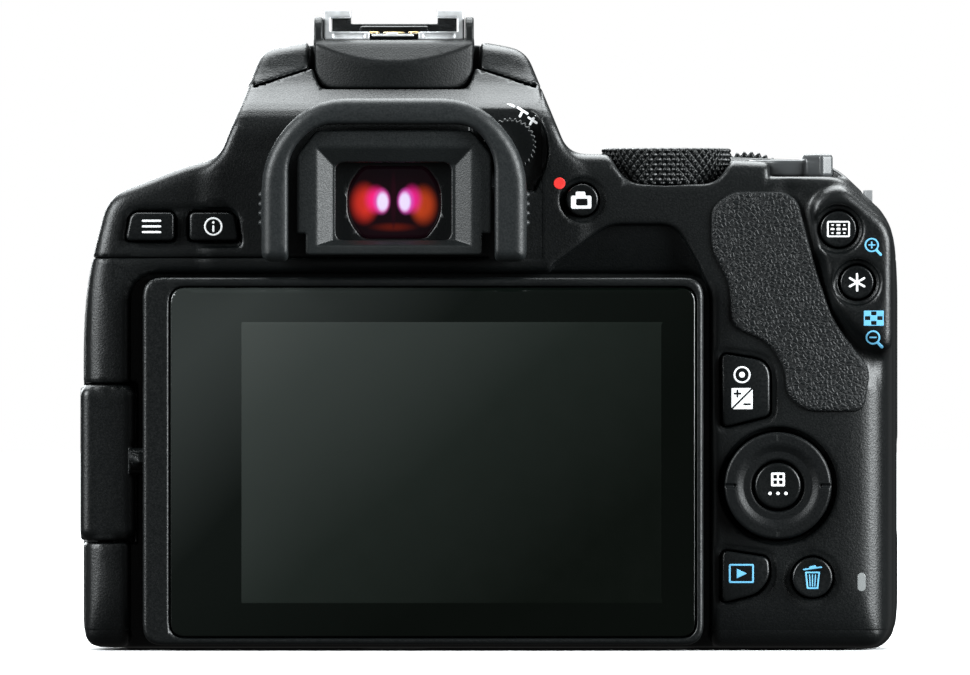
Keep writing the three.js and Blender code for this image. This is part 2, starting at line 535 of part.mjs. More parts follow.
// ---------------------------------------------------------------- viewfinder
function makeViewfinder() {
  const { halfWidth, bottom, top, rear } = EYEPIECE;
  const frame = alongY(rectangle(LENS.x - halfWidth, bottom, LENS.x + halfWidth, top, 1), rear, -21);
  const aperture = alongY(rectangle(LENS.x - 7, EYE_Z - 5.4, LENS.x + 7, EYE_Z + 5.4, 3), -40, 0);
  place("eyepiece_frame", cut(frame, aperture), "inner");
  const lensOutline = rectangle(LENS.x - 8, EYE_Z - 6.2, LENS.x + 8, EYE_Z + 6.2, 2);
  place("eyepiece_lens", alongY(lensOutline, -20.6, -17, 0.8), "glass");
  const prism = [[-3.5, 54], [15.5, 54], [17, 63], [5, 77.6], [-6, 74], [-6, 61]];
  place("pentamirror", alongX(prism, LENS.x - 12.5, LENS.x + 12.5, 0.5), "inner");
  place("focusing_screen", box(LENS.x - 13.5, LENS.x + 13.5, 1, 21, 51.6, 53.2), "glass");

  const holder = alongY(
    [
      [LENS.x - 12.8, 59.4, 0.4], [LENS.x + 12.8, 59.4, 0.4], [LENS.x + 12.8, 61.4],
      [LENS.x + 15.1, 61.4], [LENS.x + 15.1, 74.4, 1], [LENS.x + 11.8, 78.4, 1],
      [LENS.x - 11.8, 78.4, 1], [LENS.x - 15.1, 74.4, 1], [LENS.x - 15.1, 61.4],
      [LENS.x - 12.8, 61.4],
    ],
    -33, -26.8,
  );
  const steps = [[11.6, 10.2, -33.5], [8.7, 6, -30.6]];
  const corners = steps.flatMap(([w, h, y]) => [[-w, y, -h], [w, y, -h], [w, y, h], [-w, y, h]]);
  const funnelSolid = frustum(corners).translate(LENS.x, 0, EYE_Z);
  const grip = box(LENS.x - halfWidth - GAP, LENS.x + halfWidth + GAP, rear - GAP, -20, 50, top + GAP);
  place("eyecup_frame", cut(holder, funnelSolid, grip, aperture), "inner");

  const cup = alongY(
    [
      [-34, 58.4, 1], [5.8, 58.4, 1], [5.8, 74, 6], [-1.5, 82.1, 6], [-26.7, 82.1, 6], [-34, 74, 6],
    ],
    REAR_END, -27, 1.6,
  );
  const hole = alongY(
    [
      [LENS.x - 15.5, 50], [LENS.x + 15.5, 50], [LENS.x + 15.5, 74.6, 1], [LENS.x + 12, 78.8, 1],
      [LENS.x - 12, 78.8, 1], [LENS.x - 15.5, 74.6, 1],
    ],
    -50, 0,
  );
  place("eyecup", cut(cup, hole), "rubber");
}

// A block between two rectangles, from four corners at its rear and four at its front.
function frustum(corners) {
  const faces = [
    [0, 1, 2], [0, 2, 3], [4, 6, 5], [4, 7, 6],
    [0, 4, 5], [0, 5, 1], [1, 5, 6], [1, 6, 2], [2, 6, 7], [2, 7, 3], [3, 7, 4], [3, 4, 0],
  ];
  const geometry = new THREE.BufferGeometry();
  geometry.setAttribute("position", new THREE.Float32BufferAttribute(corners.flat(), 3));
  geometry.setIndex(faces.flat());
  return solid(geometry);
}

// ---------------------------------------------------------------- lens mount and mirror
function makeMount() {
  const ring = new THREE.Shape().absarc(LENS.x, LENS.z, 32.6, 0, 2 * Math.PI);
  ring.holes.push(new THREE.Path().absarc(LENS.x, LENS.z, 27, 0, 2 * Math.PI, true));
  const geometry = new THREE.ExtrudeGeometry(ring, { depth: 2, curveSegments: 48, bevelEnabled: false });
  const flange = solid(geometry.rotateX(Math.PI / 2).translate(0, MOUNT_FACE, 0));
  const tabs = [30, 150, 270].map((degrees) => {
    const from = THREE.MathUtils.degToRad(degrees - 27);
    const to = THREE.MathUtils.degToRad(degrees + 27);
    const sector = new THREE.Shape().absarc(LENS.x, LENS.z, 28, from, to);
    sector.absarc(LENS.x, LENS.z, 25, to, from, true);
    return alongY(sector, MOUNT_FACE - 1.9, MOUNT_FACE - 0.6);
  });
  const lockHole = rodY(LOCK_PIN.x, LOCK_PIN.z, 1.5, 20, 40, 12);
  place("lens_mount", cut(join(flange, ...tabs), lockHole), "steel");
  place("lens_lock_pin", rodY(LOCK_PIN.x, LOCK_PIN.z, 1.2, 27, MOUNT_FACE + 1.2, 12), "steel");
  const contacts = box(LENS.x - 8, LENS.x + 8, 30.3, 32.4, 15.2, 18.2);
  place("lens_contacts", contacts, "gold");
  const cap = rodY(RELEASE.x, RELEASE.z, RELEASE.radius, 22.4, 27.4, 24);
  const stem = rodY(RELEASE.x, RELEASE.z, 2, 18, 23, 12);
  place("lens_release_button", join(cap, stem), "trim");
}

const MIRROR_BOX = { halfWidth: 14.5, bottom: 22.5, top: 51.2, rear: -3, front: 28 };
const MIRROR = { y: 0.8, z: 49.2, length: 26.4, halfWidth: 13.4 };

function makeMirrorBox() {
  const { halfWidth, bottom, top, rear, front } = MIRROR_BOX;
  const wall = 1.8;
  const outside = halfWidth + wall;
  const block = box(LENS.x - outside, LENS.x + outside, rear, front + 1, bottom - wall, top);
  const flange = rodY(LENS.x, LENS.z, 28.2, front, front + 2, 40);
  const hollow = box(LENS.x - halfWidth, LENS.x + halfWidth, rear + wall, 40, bottom, top + 5);
  const gate = box(LENS.x - 12, LENS.x + 12, -10, 5, 29.8, 46.2);
  const crownZone = box(-50, 20, 20, 40, top + 0.6, 70);
  const crown = rodY(LENS.x, LENS.z, 28.2, front, front + 2, 40).intersect(crownZone);
  const body = cut(join(block, flange), hollow, gate, lockClearance);
  place("mirror_box", join(body, crown), "inner");
  place("autofocus_unit", box(LENS.x - 9, LENS.x + 9, 2, 16, 12, 20.2), "inner");
}

// The mirrors are drawn lying flat at the raised position and swung down about the hinge.
function swungDown(made, pivotY, pivotZ, degrees) {
  const pose = new THREE.Matrix4()
    .makeTranslation(0, pivotY, pivotZ)
    .multiply(new THREE.Matrix4().makeRotationX(THREE.MathUtils.degToRad(degrees)));
  return made.transform(pose.elements);
}

function makeMirrors() {
  const { y, z, length, halfWidth } = MIRROR;
  const plate = box(LENS.x - halfWidth, LENS.x + halfWidth, 0, length, -0.6, 0.6);
  place("reflex_mirror", swungDown(plate, y, z, -45), "steel");
  const reach = 15;
  const offset = 1.7;
  const c = Math.SQRT1_2;
  const pivot = { y: y + reach * c - offset * c, z: z - reach * c - offset * c };
  const small = box(LENS.x - 7, LENS.x + 7, 0, 9, -0.4, 0.4);
  place("sub_mirror", swungDown(small, pivot.y, pivot.z, -135), "steel");
}

// ---------------------------------------------------------------- shutter, sensor and board
function makeShutter() {
  const middle = LENS.x;
  const body = box(middle - 18, middle + 18, -8.4, -3.4, 17.5, 50);
  const gate = box(middle - 12, middle + 12, -20, 10, 30, 46);
  const bladeSpace = box(middle - 14, middle + 14, -7.2, -4.6, 19, 47.4);
  place("shutter_frame", cut(body, gate, bladeSpace), "inner");
  const half = 13.6;
  place("shutter_blade_upper", box(middle - half, middle + half, -5.7, -5.3, 37.8, 46.8), "trim");
  place("shutter_blade_lower", box(middle - half, middle + half, -6.5, -6.1, 29.2, 38.2), "trim");
}

function makeElectronics() {
  const chip = box(LENS.x - 14, LENS.x + 14, SENSOR_Y - 2.4, SENSOR_Y, 27, 49);
  const glass = box(LENS.x - 12.6, LENS.x + 12.6, SENSOR_Y - 0.5, SENSOR_Y + 1, 28.6, 47.4);
  place("image_sensor", join(chip, glass), "glass");
  place("main_board", box(-50, 28, -16.8, -15.4, 6, 55), "board");
  place("battery", alongZ(rectangle(39.5, -12.5, 53.5, 20.5, 1.5), 3.2, 48.7, 0.5), "inner");
  const card = [[-10, 4], [14, 4], [14, 36], [-6, 36], [-10, 32]];
  place("memory_card", alongX(card, 34, 36.1), "trim");
  const sockets = [
    rodX(3.5, 42, 1.8, -62, -56.5, 12),
    rodX(3.5, 36, 1.3, -62, -56.5, 12),
    box(-62, -56, -1, 8, 30.4, 33),
    box(-62, -56, 0, 7.5, 25.4, 27.6),
  ];
  place("terminal_board", cut(box(-58.5, -53.5, -2, 9, 24, 46), ...sockets), "trim");
}

// ---------------------------------------------------------------- doors, lugs and socket
function makeDoors() {
  const { left, right, rear, front, thickness } = DOOR;
  const panel = alongZ(rectangle(left, rear, right, front, 1), 0, thickness);
  const latchSlot = box(47.7, 54.3, 3.7, 12.3, -1, 5);
  place("battery_door", cut(panel, latchSlot), "shell");
  place("door_latch", box(51, 54, 4, 12, 0.3, 1.8), "trim");
  place("terminal_cover", alongX(rectangle(-4.5, 18, 10.5, 50, 1), -60.5, -59.1), "rubber");
  place("cord_cover", alongX(rectangle(-4, 18, 4, 31, 1), 59.6, HALF_WIDTH), "rubber");
}

const LUG = { length: 12, thickness: 1.2, height: 9.5 };
function lugForm(x, y, top, grow) {
  return box(
    x - grow, x + LUG.thickness + grow, y - grow, y + LUG.length + grow,
    top - LUG.height - grow, top + 5 * grow,
  );
}
const lugSlotRight = lugForm(57, -3, 69.3, GAP);
const lugSlotLeft = lugForm(-57.8, -1, 66.2, GAP);

function makeLugs() {
  const lugs = [["strap_lug_right", 57, -3, 69.3], ["strap_lug_left", -57.8, -1, 66.2]];
  for (const [name, x, y, top] of lugs) {
    const slot = alongX(rectangle(y + 1.6, top - 3, y + LUG.length - 1.6, top - 1.1, 0.8), x - 1, x + 3);
    place(name, cut(lugForm(x, y, top, 0), slot), "steel");
  }
}

function makeTripodSocket() {
  const bush = join(rodZ(LENS.x, 4, 5, 0, 2.6), rodZ(LENS.x, 4, 7, 2.9, 9), rodZ(LENS.x, 4, 5, 2.5, 3));
  place("tripod_socket", cut(bush, rodZ(LENS.x, 4, 3.15, -1, 7.5)), "steel");
}

makeRearCover();
makeFrontCover();
makeTopCover();
makeBasePlate();
place("thumb_rubber", alongY(THUMB_PAD, BODY_REAR - 0.7, BODY_REAR + 0.7, 0.3), "rubber");
makeScreen();
makeButtons();
makePad();
makeDioptreDial();
makeDials();
makePowerLever();
makeTopButtons();
makeShutterButton();
makeShoe();
makeFlash();
makeViewfinder();
makeMount();
makeMirrorBox();
makeMirrors();
makeShutter();
makeElectronics();
makeDoors();
makeLugs();
makeTripodSocket();

export default camera;
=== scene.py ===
"""A small reflex camera body, seen from behind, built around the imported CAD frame.

Shapes are worked out in millimetres on the frame's own axes and stored in metres: X is to the right seen
from behind, Y towards the lens and Z up. Almost every piece is a signed distance field on a grid of small
cubes, turned into a mesh.
"""
import math

import bpy
import numpy as np
import openvdb as vdb
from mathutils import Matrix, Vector


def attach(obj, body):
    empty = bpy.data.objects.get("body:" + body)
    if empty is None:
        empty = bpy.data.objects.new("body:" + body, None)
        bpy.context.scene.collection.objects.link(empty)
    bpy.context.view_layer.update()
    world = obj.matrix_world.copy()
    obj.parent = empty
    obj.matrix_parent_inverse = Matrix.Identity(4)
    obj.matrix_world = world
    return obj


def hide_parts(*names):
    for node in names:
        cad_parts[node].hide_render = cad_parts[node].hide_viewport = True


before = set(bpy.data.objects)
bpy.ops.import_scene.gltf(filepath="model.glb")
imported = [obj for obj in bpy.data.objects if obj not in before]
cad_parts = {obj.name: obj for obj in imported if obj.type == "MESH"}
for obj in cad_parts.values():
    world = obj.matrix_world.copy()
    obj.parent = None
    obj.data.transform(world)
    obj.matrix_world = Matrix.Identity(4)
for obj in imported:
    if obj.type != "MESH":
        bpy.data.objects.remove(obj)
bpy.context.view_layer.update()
MM = 0.001
X, Y, Z = range(3)


# ---------------------------------------------------------------- signed distances
# A shape is a low corner, a high corner and a function that gives its distance on a grid.
FAR = 4.0  # how far past a shape's own box its distance still matters


def rounded(corners, steps=6):
    """Points round a closed outline of (x, y, radius) corners, each corner a smooth curve."""
    points = []
    for i, corner in enumerate(corners):
        here = np.array(corner[:2], float)
        radius = corner[2] if len(corner) > 2 else 0
        before = np.array(corners[i - 1][:2], float) - here
        after = np.array(corners[(i + 1) % len(corners)][:2], float) - here
        room = 0.48 * min(np.linalg.norm(before), np.linalg.norm(after))
        reach = min(radius, room)
        if reach <= 0:
            points.append(here)
            continue
        start = here + before / np.linalg.norm(before) * reach
        end = here + after / np.linalg.norm(after) * reach
        for t in np.linspace(0, 1, steps):
            points.append((1 - t) ** 2 * start + 2 * t * (1 - t) * here + t * t * end)
    return np.array(points)


def rectangle(x0, y0, x1, y1, r=0.0):
    return [(x0, y0, r), (x1, y0, r), (x1, y1, r), (x0, y1, r)]


def circle(x, y, radius, count=48):
    angles = np.linspace(0, 2 * np.pi, count, endpoint=False)
    return np.stack([x + radius * np.cos(angles), y + radius * np.sin(angles)], 1)


def outline_distance(u, v, points):
    """Signed distance from the points (u, v) to a closed outline."""
    shape = np.broadcast(u, v).shape
    nearest = np.full(shape, 1e9, np.float32)
    inside = np.zeros(shape, bool)
    for a, b in zip(points, np.roll(points, -1, axis=0)):
        ex, ey = b - a
        length = ex * ex + ey * ey
        if length == 0:
            continue
        wx, wy = u - a[0], v - a[1]
        t = np.clip((wx * ex + wy * ey) / length, 0, 1)
        nearest = np.minimum(nearest, (wx - ex * t) ** 2 + (wy - ey * t) ** 2)
        crosses = (a[1] > v) != (b[1] > v)
        if ey != 0:
            inside ^= crosses & (wx < ex * (v - a[1]) / ey)
    return np.where(inside, -1, 1) * np.sqrt(nearest)


def inside_all(*limits):
    """Below nought only where every one of the limits is."""
    worst = limits[0]
    for limit in limits[1:]:
        worst = np.maximum(worst, limit)
    return worst


def capped(flat, along, edge):
    """A flat distance carried along an axis, its rim rounded by edge."""
    a, b = flat + edge, along + edge
    return np.minimum(np.maximum(a, b), 0) + np.hypot(np.maximum(a, 0), np.maximum(b, 0)) - edge


def boxed(offsets, half, edge):
    """A rounded box, from how far each coordinate is from its middle."""
    past = [np.abs(offset) - size + edge for offset, size in zip(offsets, half)]
    outside = sum(np.maximum(p, 0) ** 2 for p in past)
    return np.sqrt(outside) + np.minimum(inside_all(*past), 0) - edge


def carried(axis, flat, flat_low, flat_high, start, end, edge):
    """A flat shape on the other two axes, carried along an axis from start to end."""
    others = [i for i in range(3) if i != axis]
    low, high = np.zeros(3), np.zeros(3)
    low[axis], high[axis] = start, end
    low[others], high[others] = flat_low, flat_high

    def distance(grid):
        along = grid[axis]
        level = np.abs(along - (start + end) / 2) - (end - start) / 2
        return capped(flat(grid[others[0]], grid[others[1]], along), level, edge)

    return low, high, distance


def prism(axis, outline, start, end, edge=0.0):
    """An outline carried along an axis. It is drawn in Y, Z for X, in X, Z for Y and in X, Y for Z."""
    points = rounded(outline)
    return carried(axis, lambda u, v, along: outline_distance(u, v, points),
                   points.min(axis=0), points.max(axis=0), start, end, edge)


def rod(axis, a, b, radius, start, end, edge=0.0):
    """A round bar along an axis, through a, b on the other two."""
    return carried(axis, lambda u, v, along: np.hypot(u - a, v - b) - radius,
                   (a - radius, b - radius), (a + radius, b + radius), start, end, edge)


def toothed(axis, a, b, radius, start, end, depth, pattern, edge):
    """A wheel whose rim is cut by a pattern, from 0 to 1, of the angle and the place along the axis."""
    steepness = 0.8  # keeps the cut rim's distance from overshooting

    def flat(u, v, along):
        return np.hypot(u - a, v - b) - radius + depth * pattern(np.arctan2(v - b, u - a), along)

    low, high, distance = carried(axis, flat, (a - radius, b - radius), (a + radius, b + radius),
                                  start, end, edge)
    return low, high, lambda grid: distance(grid) * steepness


def ridges(count):
    return lambda angle, along: (0.5 + 0.5 * np.cos(angle * count)) ** 1.5 + 0 * along


def diamonds(count, pitch, start):
    def pattern(angle, along):
        a, b = angle * count, (along - start) * 2 * np.pi / pitch
        return 1 - np.abs(np.cos((a + b) / 2)) * np.abs(np.cos((a - b) / 2))
    return pattern


def block(x0, x1, y0, y1, z0, z1, edge=0.0):
    low, high = np.array([x0, y0, z0], float), np.array([x1, y1, z1], float)
    middle, half = (low + high) / 2, (high - low) / 2
    return low, high, lambda grid: boxed([g - m for g, m in zip(grid, middle)], half, edge)


def turned(x, y, angle, half, level, edge):
    """A rounded block turned about Z."""
    c, s = math.cos(angle), math.sin(angle)
    reach = max(half) * 1.5
    middle = np.array([x, y, level])

    def distance(grid):
        dx, dy = grid[0] - x, grid[1] - y
        return boxed((c * dx + s * dy, c * dy - s * dx, grid[2] - level), half, edge)

    return middle - reach, middle + reach, distance


def slanted(x, y, z, angle, half, edge=0.2):
    """A rounded block turned about X: half its length, its height and its depth."""
    c, s = math.cos(angle), math.sin(angle)
    reach = np.array([half[0], half[1] + 2, half[1] + 2])
    middle = np.array([x, y, z], float)

    def distance(grid):
        dy, dz = grid[1] - y, grid[2] - z
        return boxed((grid[0] - x, dy * c + dz * s, -dy * s + dz * c), half, edge)

    return middle - reach, middle + reach, distance


def ball(x, y, z, radius):
    middle = np.array([x, y, z], float)
    return middle - radius, middle + radius, lambda grid: np.sqrt(
        sum((g - m) ** 2 for g, m in zip(grid, middle))) - radius


def dish(x, z, face, radius, depth):
    """The ball that hollows a face turned to the back, depth deep at its middle."""
    return ball(x, face - radius + depth, z, radius)


def tube(x, y, z, radius, thin):
    """A ring lying in the X, Z plane."""
    reach = np.array([radius + thin, thin, radius + thin])
    middle = np.array([x, y, z])
    return middle - reach, middle + reach, lambda grid: np.hypot(
        np.hypot(grid[0] - x, grid[2] - z) - radius, grid[1] - y) - thin


def capsule(a, b, radius, end_radius=None):
    """A round-ended bar between two points, which may taper."""
    a, b = np.array(a, float), np.array(b, float)
    end_radius = radius if end_radius is None else end_radius
    widest = max(radius, end_radius)
    axis = b - a

    def distance(grid):
        rel = [g - o for g, o in zip(grid, a)]
        t = np.clip(sum(r * s for r, s in zip(rel, axis)) / axis.dot(axis), 0, 1)
        gap = sum((r - s * t) ** 2 for r, s in zip(rel, axis))
        return np.sqrt(gap) - radius - (end_radius - radius) * t

    return np.minimum(a, b) - widest, np.maximum(a, b) + widest, distance


def round_bar(a, b, radius):
    """A flat-ended round bar between any two points."""
    length = np.linalg.norm(b - a)
    axis = (b - a) / length
    middle = (a + b) / 2
    reach = radius + 1

    def distance(grid):
        rel = [g - m for g, m in zip(grid, middle)]
        along = sum(r * s for r, s in zip(rel, axis))
        across = np.sqrt(np.maximum(sum(r * r for r in rel) - along * along, 0)) - radius
        return capped(across, np.abs(along) - length / 2, 0)

    return np.minimum(a, b) - reach, np.maximum(a, b) + reach, distance


def smooth_min(a, b, k):
    if k <= 0:
        return np.minimum(a, b)
    h = np.maximum(k - np.abs(a - b), 0) / k
    return np.minimum(a, b) - h * h * k / 4


def smooth_max(a, b, k):
    return -smooth_min(-a, -b, k)


def both(first, second, blend=0.0):
    """Where two shapes overlap."""
    low, high = np.maximum(first[0], second[0]), np.minimum(first[1], second[1])
    return low, high, lambda grid: smooth_max(first[2](grid), second[2](grid), blend)


def around(shape, margin=0.6):
    """The corners of a grid that holds a shape."""
    low, high, _ = shape
    return low - margin, high + margin


class Field:
    """A signed distance, negative inside, held on a grid of small cubes."""

    def __init__(self, low, high, step):
        self.low = np.array(low, float)
        self.step = step
        self.count = np.ceil((np.array(high, float) - self.low) / step).astype(int) + 1
        self.values = np.full(self.count, FAR, np.float32)

    def window(self, low, high):
        """The part of the grid near a box: its slices, and its X, Y and Z values."""
        first = np.floor((np.array(low) - FAR - self.low) / self.step).astype(int)
        last = np.ceil((np.array(high) + FAR - self.low) / self.step).astype(int) + 1
        spans = list(zip(np.clip(first, 0, self.count), np.clip(last, 0, self.count)))
        grid = []
        for i, (a, b) in enumerate(spans):
            shape = [1, 1, 1]
            shape[i] = max(b - a, 0)
            grid.append((self.low[i] + np.arange(a, b) * self.step).astype(np.float32).reshape(shape))
        return tuple(slice(a, b) for a, b in spans), grid

    def everywhere(self):
        """The X, Y and Z values of the whole grid."""
        return self.window(self.low, self.low + self.count * self.step)[1]

    def apply(self, shape, combine):
        low, high, distance = shape
        slices, grid = self.window(low, high)
        near = self.values[slices]
        if near.size:
            self.values[slices] = combine(near, distance(grid).astype(np.float32))

    def add(self, shape, blend):
        self.apply(shape, lambda old, new: smooth_min(old, new, blend))

    def cut(self, shape, blend):
        self.apply(shape, lambda old, new: smooth_max(old, -new, blend))

    def keep(self, distance, blend):
        """Keeps what also lies inside a distance that is given on the whole grid."""
        self.values = smooth_max(self.values, distance.astype(np.float32), blend)

    def sample(self, points):
        """The distance at points, from the eight grid values round each."""
        place = np.clip((points - self.low) / self.step, 0, np.array(self.count) - 1.001)
        cell = place.astype(int)
        share = (place - cell).astype(np.float32)
        total = np.zeros(len(points), np.float32)
        for corner in range(8):
            offset = np.array([corner & 1, corner >> 1 & 1, corner >> 2 & 1])
            weight = np.prod(np.where(offset, share, 1 - share), axis=1)
            i, j, k = (cell + offset).T
            total += weight * self.values[i, j, k]
        return total

    def slope(self, points):
        """The outward direction at points."""
        h = 0.6 * self.step
        sides = [self.sample(points + h * e) - self.sample(points - h * e) for e in np.eye(3)]
        slope = np.stack(sides, 1)
        return slope / np.maximum(np.linalg.norm(slope, axis=1, keepdims=True), 1e-9)


def add(shape, blend=0.0):
    """A step for carve(), which joins a shape on."""
    return Field.add, shape, blend


def cut(shape, blend=0.0):
    """A step for carve(), which takes a shape away."""
    return Field.cut, shape, blend


def carve(field, steps):
    for how, shape, blend in steps:
        how(field, shape, blend)
    return field


FACES_TRIED = 2000  # enough faces to tell which way a mesh is wound


def surface(name, field, material, body, nodes=(), adaptivity=0.0):
    """The field's zero surface as a mesh with the field's own normals."""
    grid = vdb.FloatGrid(background=FAR)
    grid.copyFromArray(np.ascontiguousarray(field.values))
    points, triangles, quads = grid.convertToPolygons(isovalue=0.0, adaptivity=adaptivity)
    points = field.low + points.astype(float) * field.step
    for _ in range(2):
        points = points - field.slope(points) * field.sample(points)[:, None]
    normals = field.slope(points)
    faces = [tuple(f[::-1]) for f in quads.tolist() + triangles.tolist()]
    tried = faces[:FACES_TRIED]
    a, b, c = (points[[f[i] for f in tried]] for i in range(3))
    facing = np.sum(np.cross(b - a, c - a) * normals[[f[0] for f in tried]], axis=1)
    if np.median(facing) < 0:
        faces = [f[::-1] for f in faces]
    mesh = bpy.data.meshes.new(name)
    mesh.from_pydata((points * MM).tolist(), [], faces)
    mesh.polygons.foreach_set("use_smooth", [True] * len(mesh.polygons))
    mesh.normals_split_custom_set_from_vertices(normals.tolist())
    mesh.validate(clean_customdata=False)
    settle(name, mesh, material, body, nodes)


def settle(name, mesh, material, body, nodes=()):
    """Puts a finished mesh in the scene, on its body, in place of the CAD nodes it stands for."""
    made = bpy.data.objects.new(name, mesh)
    bpy.context.scene.collection.objects.link(made)
    made.data.materials.append(material)
    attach(made, body)
    if nodes:
        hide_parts(*nodes)


def part(name, low, high, step, steps, material, body, nodes=(), adaptivity=0.0):
    """One piece between two corners, from its own list of joins and cuts."""
    surface(name, carve(Field(low, high, step), steps), material, body, nodes, adaptivity)


# ---------------------------------------------------------------- materials
def add_node(tree, kind, inputs=None, **settings):
    """A shader node, each input set to a number or colour, or joined to another node's output."""
    made = tree.nodes.new("ShaderNode" + kind)
    for key, value in settings.items():
        setattr(made, key, value)
    for key, value in (inputs or {}).items():
        if isinstance(value, bpy.types.NodeSocket):
            tree.links.new(value, made.inputs[key])
        else:
            made.inputs[key].default_value = value
    return made


def tinted(color, factor, lift=0.0):
    return tuple(c * factor + lift for c in color)


class Finish:
    """A material being made, in the object's own coordinates."""

    def __init__(self, name):
        self.material = bpy.data.materials.new(name)
        self.material.use_nodes = True
        self.tree = self.material.node_tree
        self.place = self.add("TexCoord").outputs["Object"]

    def add(self, kind, inputs=None, **settings):
        return add_node(self.tree, kind, inputs, **settings)

    def shader(self, **levels):
        """Sets the shader's own sockets: Coat_Weight=0.3 sets its Coat Weight."""
        for key, value in levels.items():
            socket = self.tree.nodes["Principled BSDF"].inputs[key.replace("_", " ")]
            if isinstance(value, bpy.types.NodeSocket):
                self.tree.links.new(value, socket)
            else:
                socket.default_value = value

    def noise(self, scale, detail, place=None, output="Fac", roughness=0.5):
        inputs = {"Vector": place or self.place, "Scale": scale, "Detail": detail, "Roughness": roughness}
        return self.add("TexNoise", inputs).outputs[output]

    def calculate(self, operation, *values):
        return self.add("Math", dict(enumerate(values)), operation=operation).outputs[0]

    def vector(self, operation, *values, output="Vector"):
        return self.add("VectorMath", dict(enumerate(values)), operation=operation).outputs[output]

    def remap(self, value, start, end, low, high, **settings):
        inputs = {"Value": value, "From Min": start, "From Max": end, "To Min": low, "To Max": high}
        return self.add("MapRange", inputs, **settings).outputs["Result"]

    def ramp(self, factor, *stops):
        made = self.add("ValToRGB", {"Fac": factor})
        elements = made.color_ramp.elements
        while len(elements) < len(stops):
            elements.new(0.5)
        for element, (place, color) in zip(elements, stops):
            element.position = place
            element.color = (*color, 1)
        return made.outputs["Color"]

    def bump(self, height, depth, strength=1.0):
        inputs = {"Height": height, "Strength": strength, "Distance": depth * MM}
        self.shader(Normal=self.add("Bump", inputs).outputs["Normal"])

    def wiped(self, rough, coat, coat_rough):
        """A polish with faint smears, under a clear coat."""
        smears = self.noise(240.0, 4.0)
        self.shader(Roughness=self.remap(smears, 0.3, 0.7, rough, rough + 0.03),
                    Coat_Weight=coat, Coat_Roughness=coat_rough)


def moulded(name, color, rough, grain, depth, shine=0.5):
    """Moulded plastic or rubber: a pebbled grain of that size in millimetres, and faint uneven gloss."""
    made = Finish(name)
    fine = made.noise(1000 / grain, 2.0, roughness=0.6)
    pebbles = made.add("TexVoronoi", {"Vector": made.place, "Scale": 900 / grain, "Randomness": 1.0})
    cloud = made.noise(45.0, 4.0)
    made.shader(Base_Color=made.ramp(cloud, (0.3, tinted(color, 0.85)), (0.7, tinted(color, 1.15, 0.001))),
                Roughness=made.remap(fine, 0.3, 0.7, rough - 0.06, rough + 0.08),
                Specular_IOR_Level=shine)
    made.bump(made.calculate("ADD", fine, pebbles.outputs["Distance"]), depth)
    return made.material


def leather(name, color, size, depth, rough):
    """Moulded leather grain: creased cells of that size in millimetres, with painted shade darkening the
    creases.
    """
    made = Finish(name)
    warp = made.noise(350 / size, 2.0, output="Color")
    small = made.add("VectorMath", {0: warp, "Scale": size * MM * 0.6}, operation="SCALE").outputs[0]
    bent = made.vector("ADD", made.place, small)
    cells = made.add("TexVoronoi", {"Vector": bent, "Scale": 1000 / size}, feature="DISTANCE_TO_EDGE")
    crease = made.remap(cells.outputs["Distance"], 0, 0.28, 0, 1, interpolation_type="SMOOTHSTEP")
    fine = made.noise(4000 / size, 2.0)
    made.bump(made.calculate("MULTIPLY_ADD", fine, 0.25, crease), depth)
    # Painted shade: the creases are darkened in the base colour.
    made.shader(Base_Color=made.ramp(crease, (0.0, tinted(color, 0.55)), (1.0, color)),
                Roughness=made.remap(crease, 0, 1, rough + 0.15, rough),
                Specular_IOR_Level=0.38)
    return made.material


def metal(name, color, rough, brushed, metallic=1.0):
    """Metal with fine lines, drawn out by brushed along X, Y and Z."""
    made = Finish(name)
    stretched = made.add("Mapping", {"Vector": made.place, "Scale": brushed}).outputs[0]
    lines = made.noise(90.0, 3.0, stretched)
    made.shader(Base_Color=made.ramp(lines, (0.3, tinted(color, 0.88)), (0.7, color)),
                Roughness=made.remap(lines, 0.3, 0.7, rough * 0.7, rough * 1.4),
                Metallic=metallic)
    made.bump(lines, 0.006, 0.2)
    return made.material


def polished(name, color, rough, coat):
    """Polished plastic or coated glass, with a slow drift between two tones."""
    made = Finish(name)
    drift = made.noise(30.0, 1.0)
    made.shader(Base_Color=made.ramp(drift, (0.35, color), (0.65, tinted(color, 1.3))))
    made.wiped(rough, coat, 0.03)
    return made.material


def painted_reflection_panel(name, rough, *stops):
    """Dark glass over a display, with a painted reflection: its base colour is palest at the top left and
    deepens to the lower right, as a soft lamp's reflection would.
    """
    made = Finish(name)
    along = made.vector("DOT_PRODUCT", made.place, (8.6, 0, -9.4), output="Value")
    shifted = made.calculate("ADD", along, 0.86)
    blurred = made.calculate("MULTIPLY_ADD", made.noise(14.0, 2.0), 0.16, shifted)
    # Painted reflection: this fade from the top left to the lower right stands in for a lamp reflected in the
    # glass.
    made.shader(Base_Color=made.ramp(blurred, *stops))
    made.wiped(rough, 0.3, 0.05)
    return made.material


def paint(name, color):
    """Printed ink, a little uneven, with a painted glow: it gives off light of its own colour, though it is
    no lamp.
    """
    made = Finish(name)
    tone = made.ramp(made.noise(900.0, 3.0), (0.3, tinted(color, 0.86)), (0.7, color))
    # Painted glow: the ink's colour is also its emission.
    made.shader(Base_Color=tone, Emission_Color=tone, Emission_Strength=0.55, Roughness=0.5)
    return made.material


def sensor_glass():
    """Dark glass with a thin violet coating that shows at a slant."""
    made = Finish("sensor_glass")
    facing = made.add("LayerWeight", {"Blend": 0.35}).outputs["Facing"]
    tone = made.ramp(facing, (0.1, (0.012, 0.02, 0.028)), (0.8, (0.05, 0.02, 0.06)))
    made.shader(Base_Color=tone, Roughness=0.08, Coat_Weight=0.6)
    return made.material


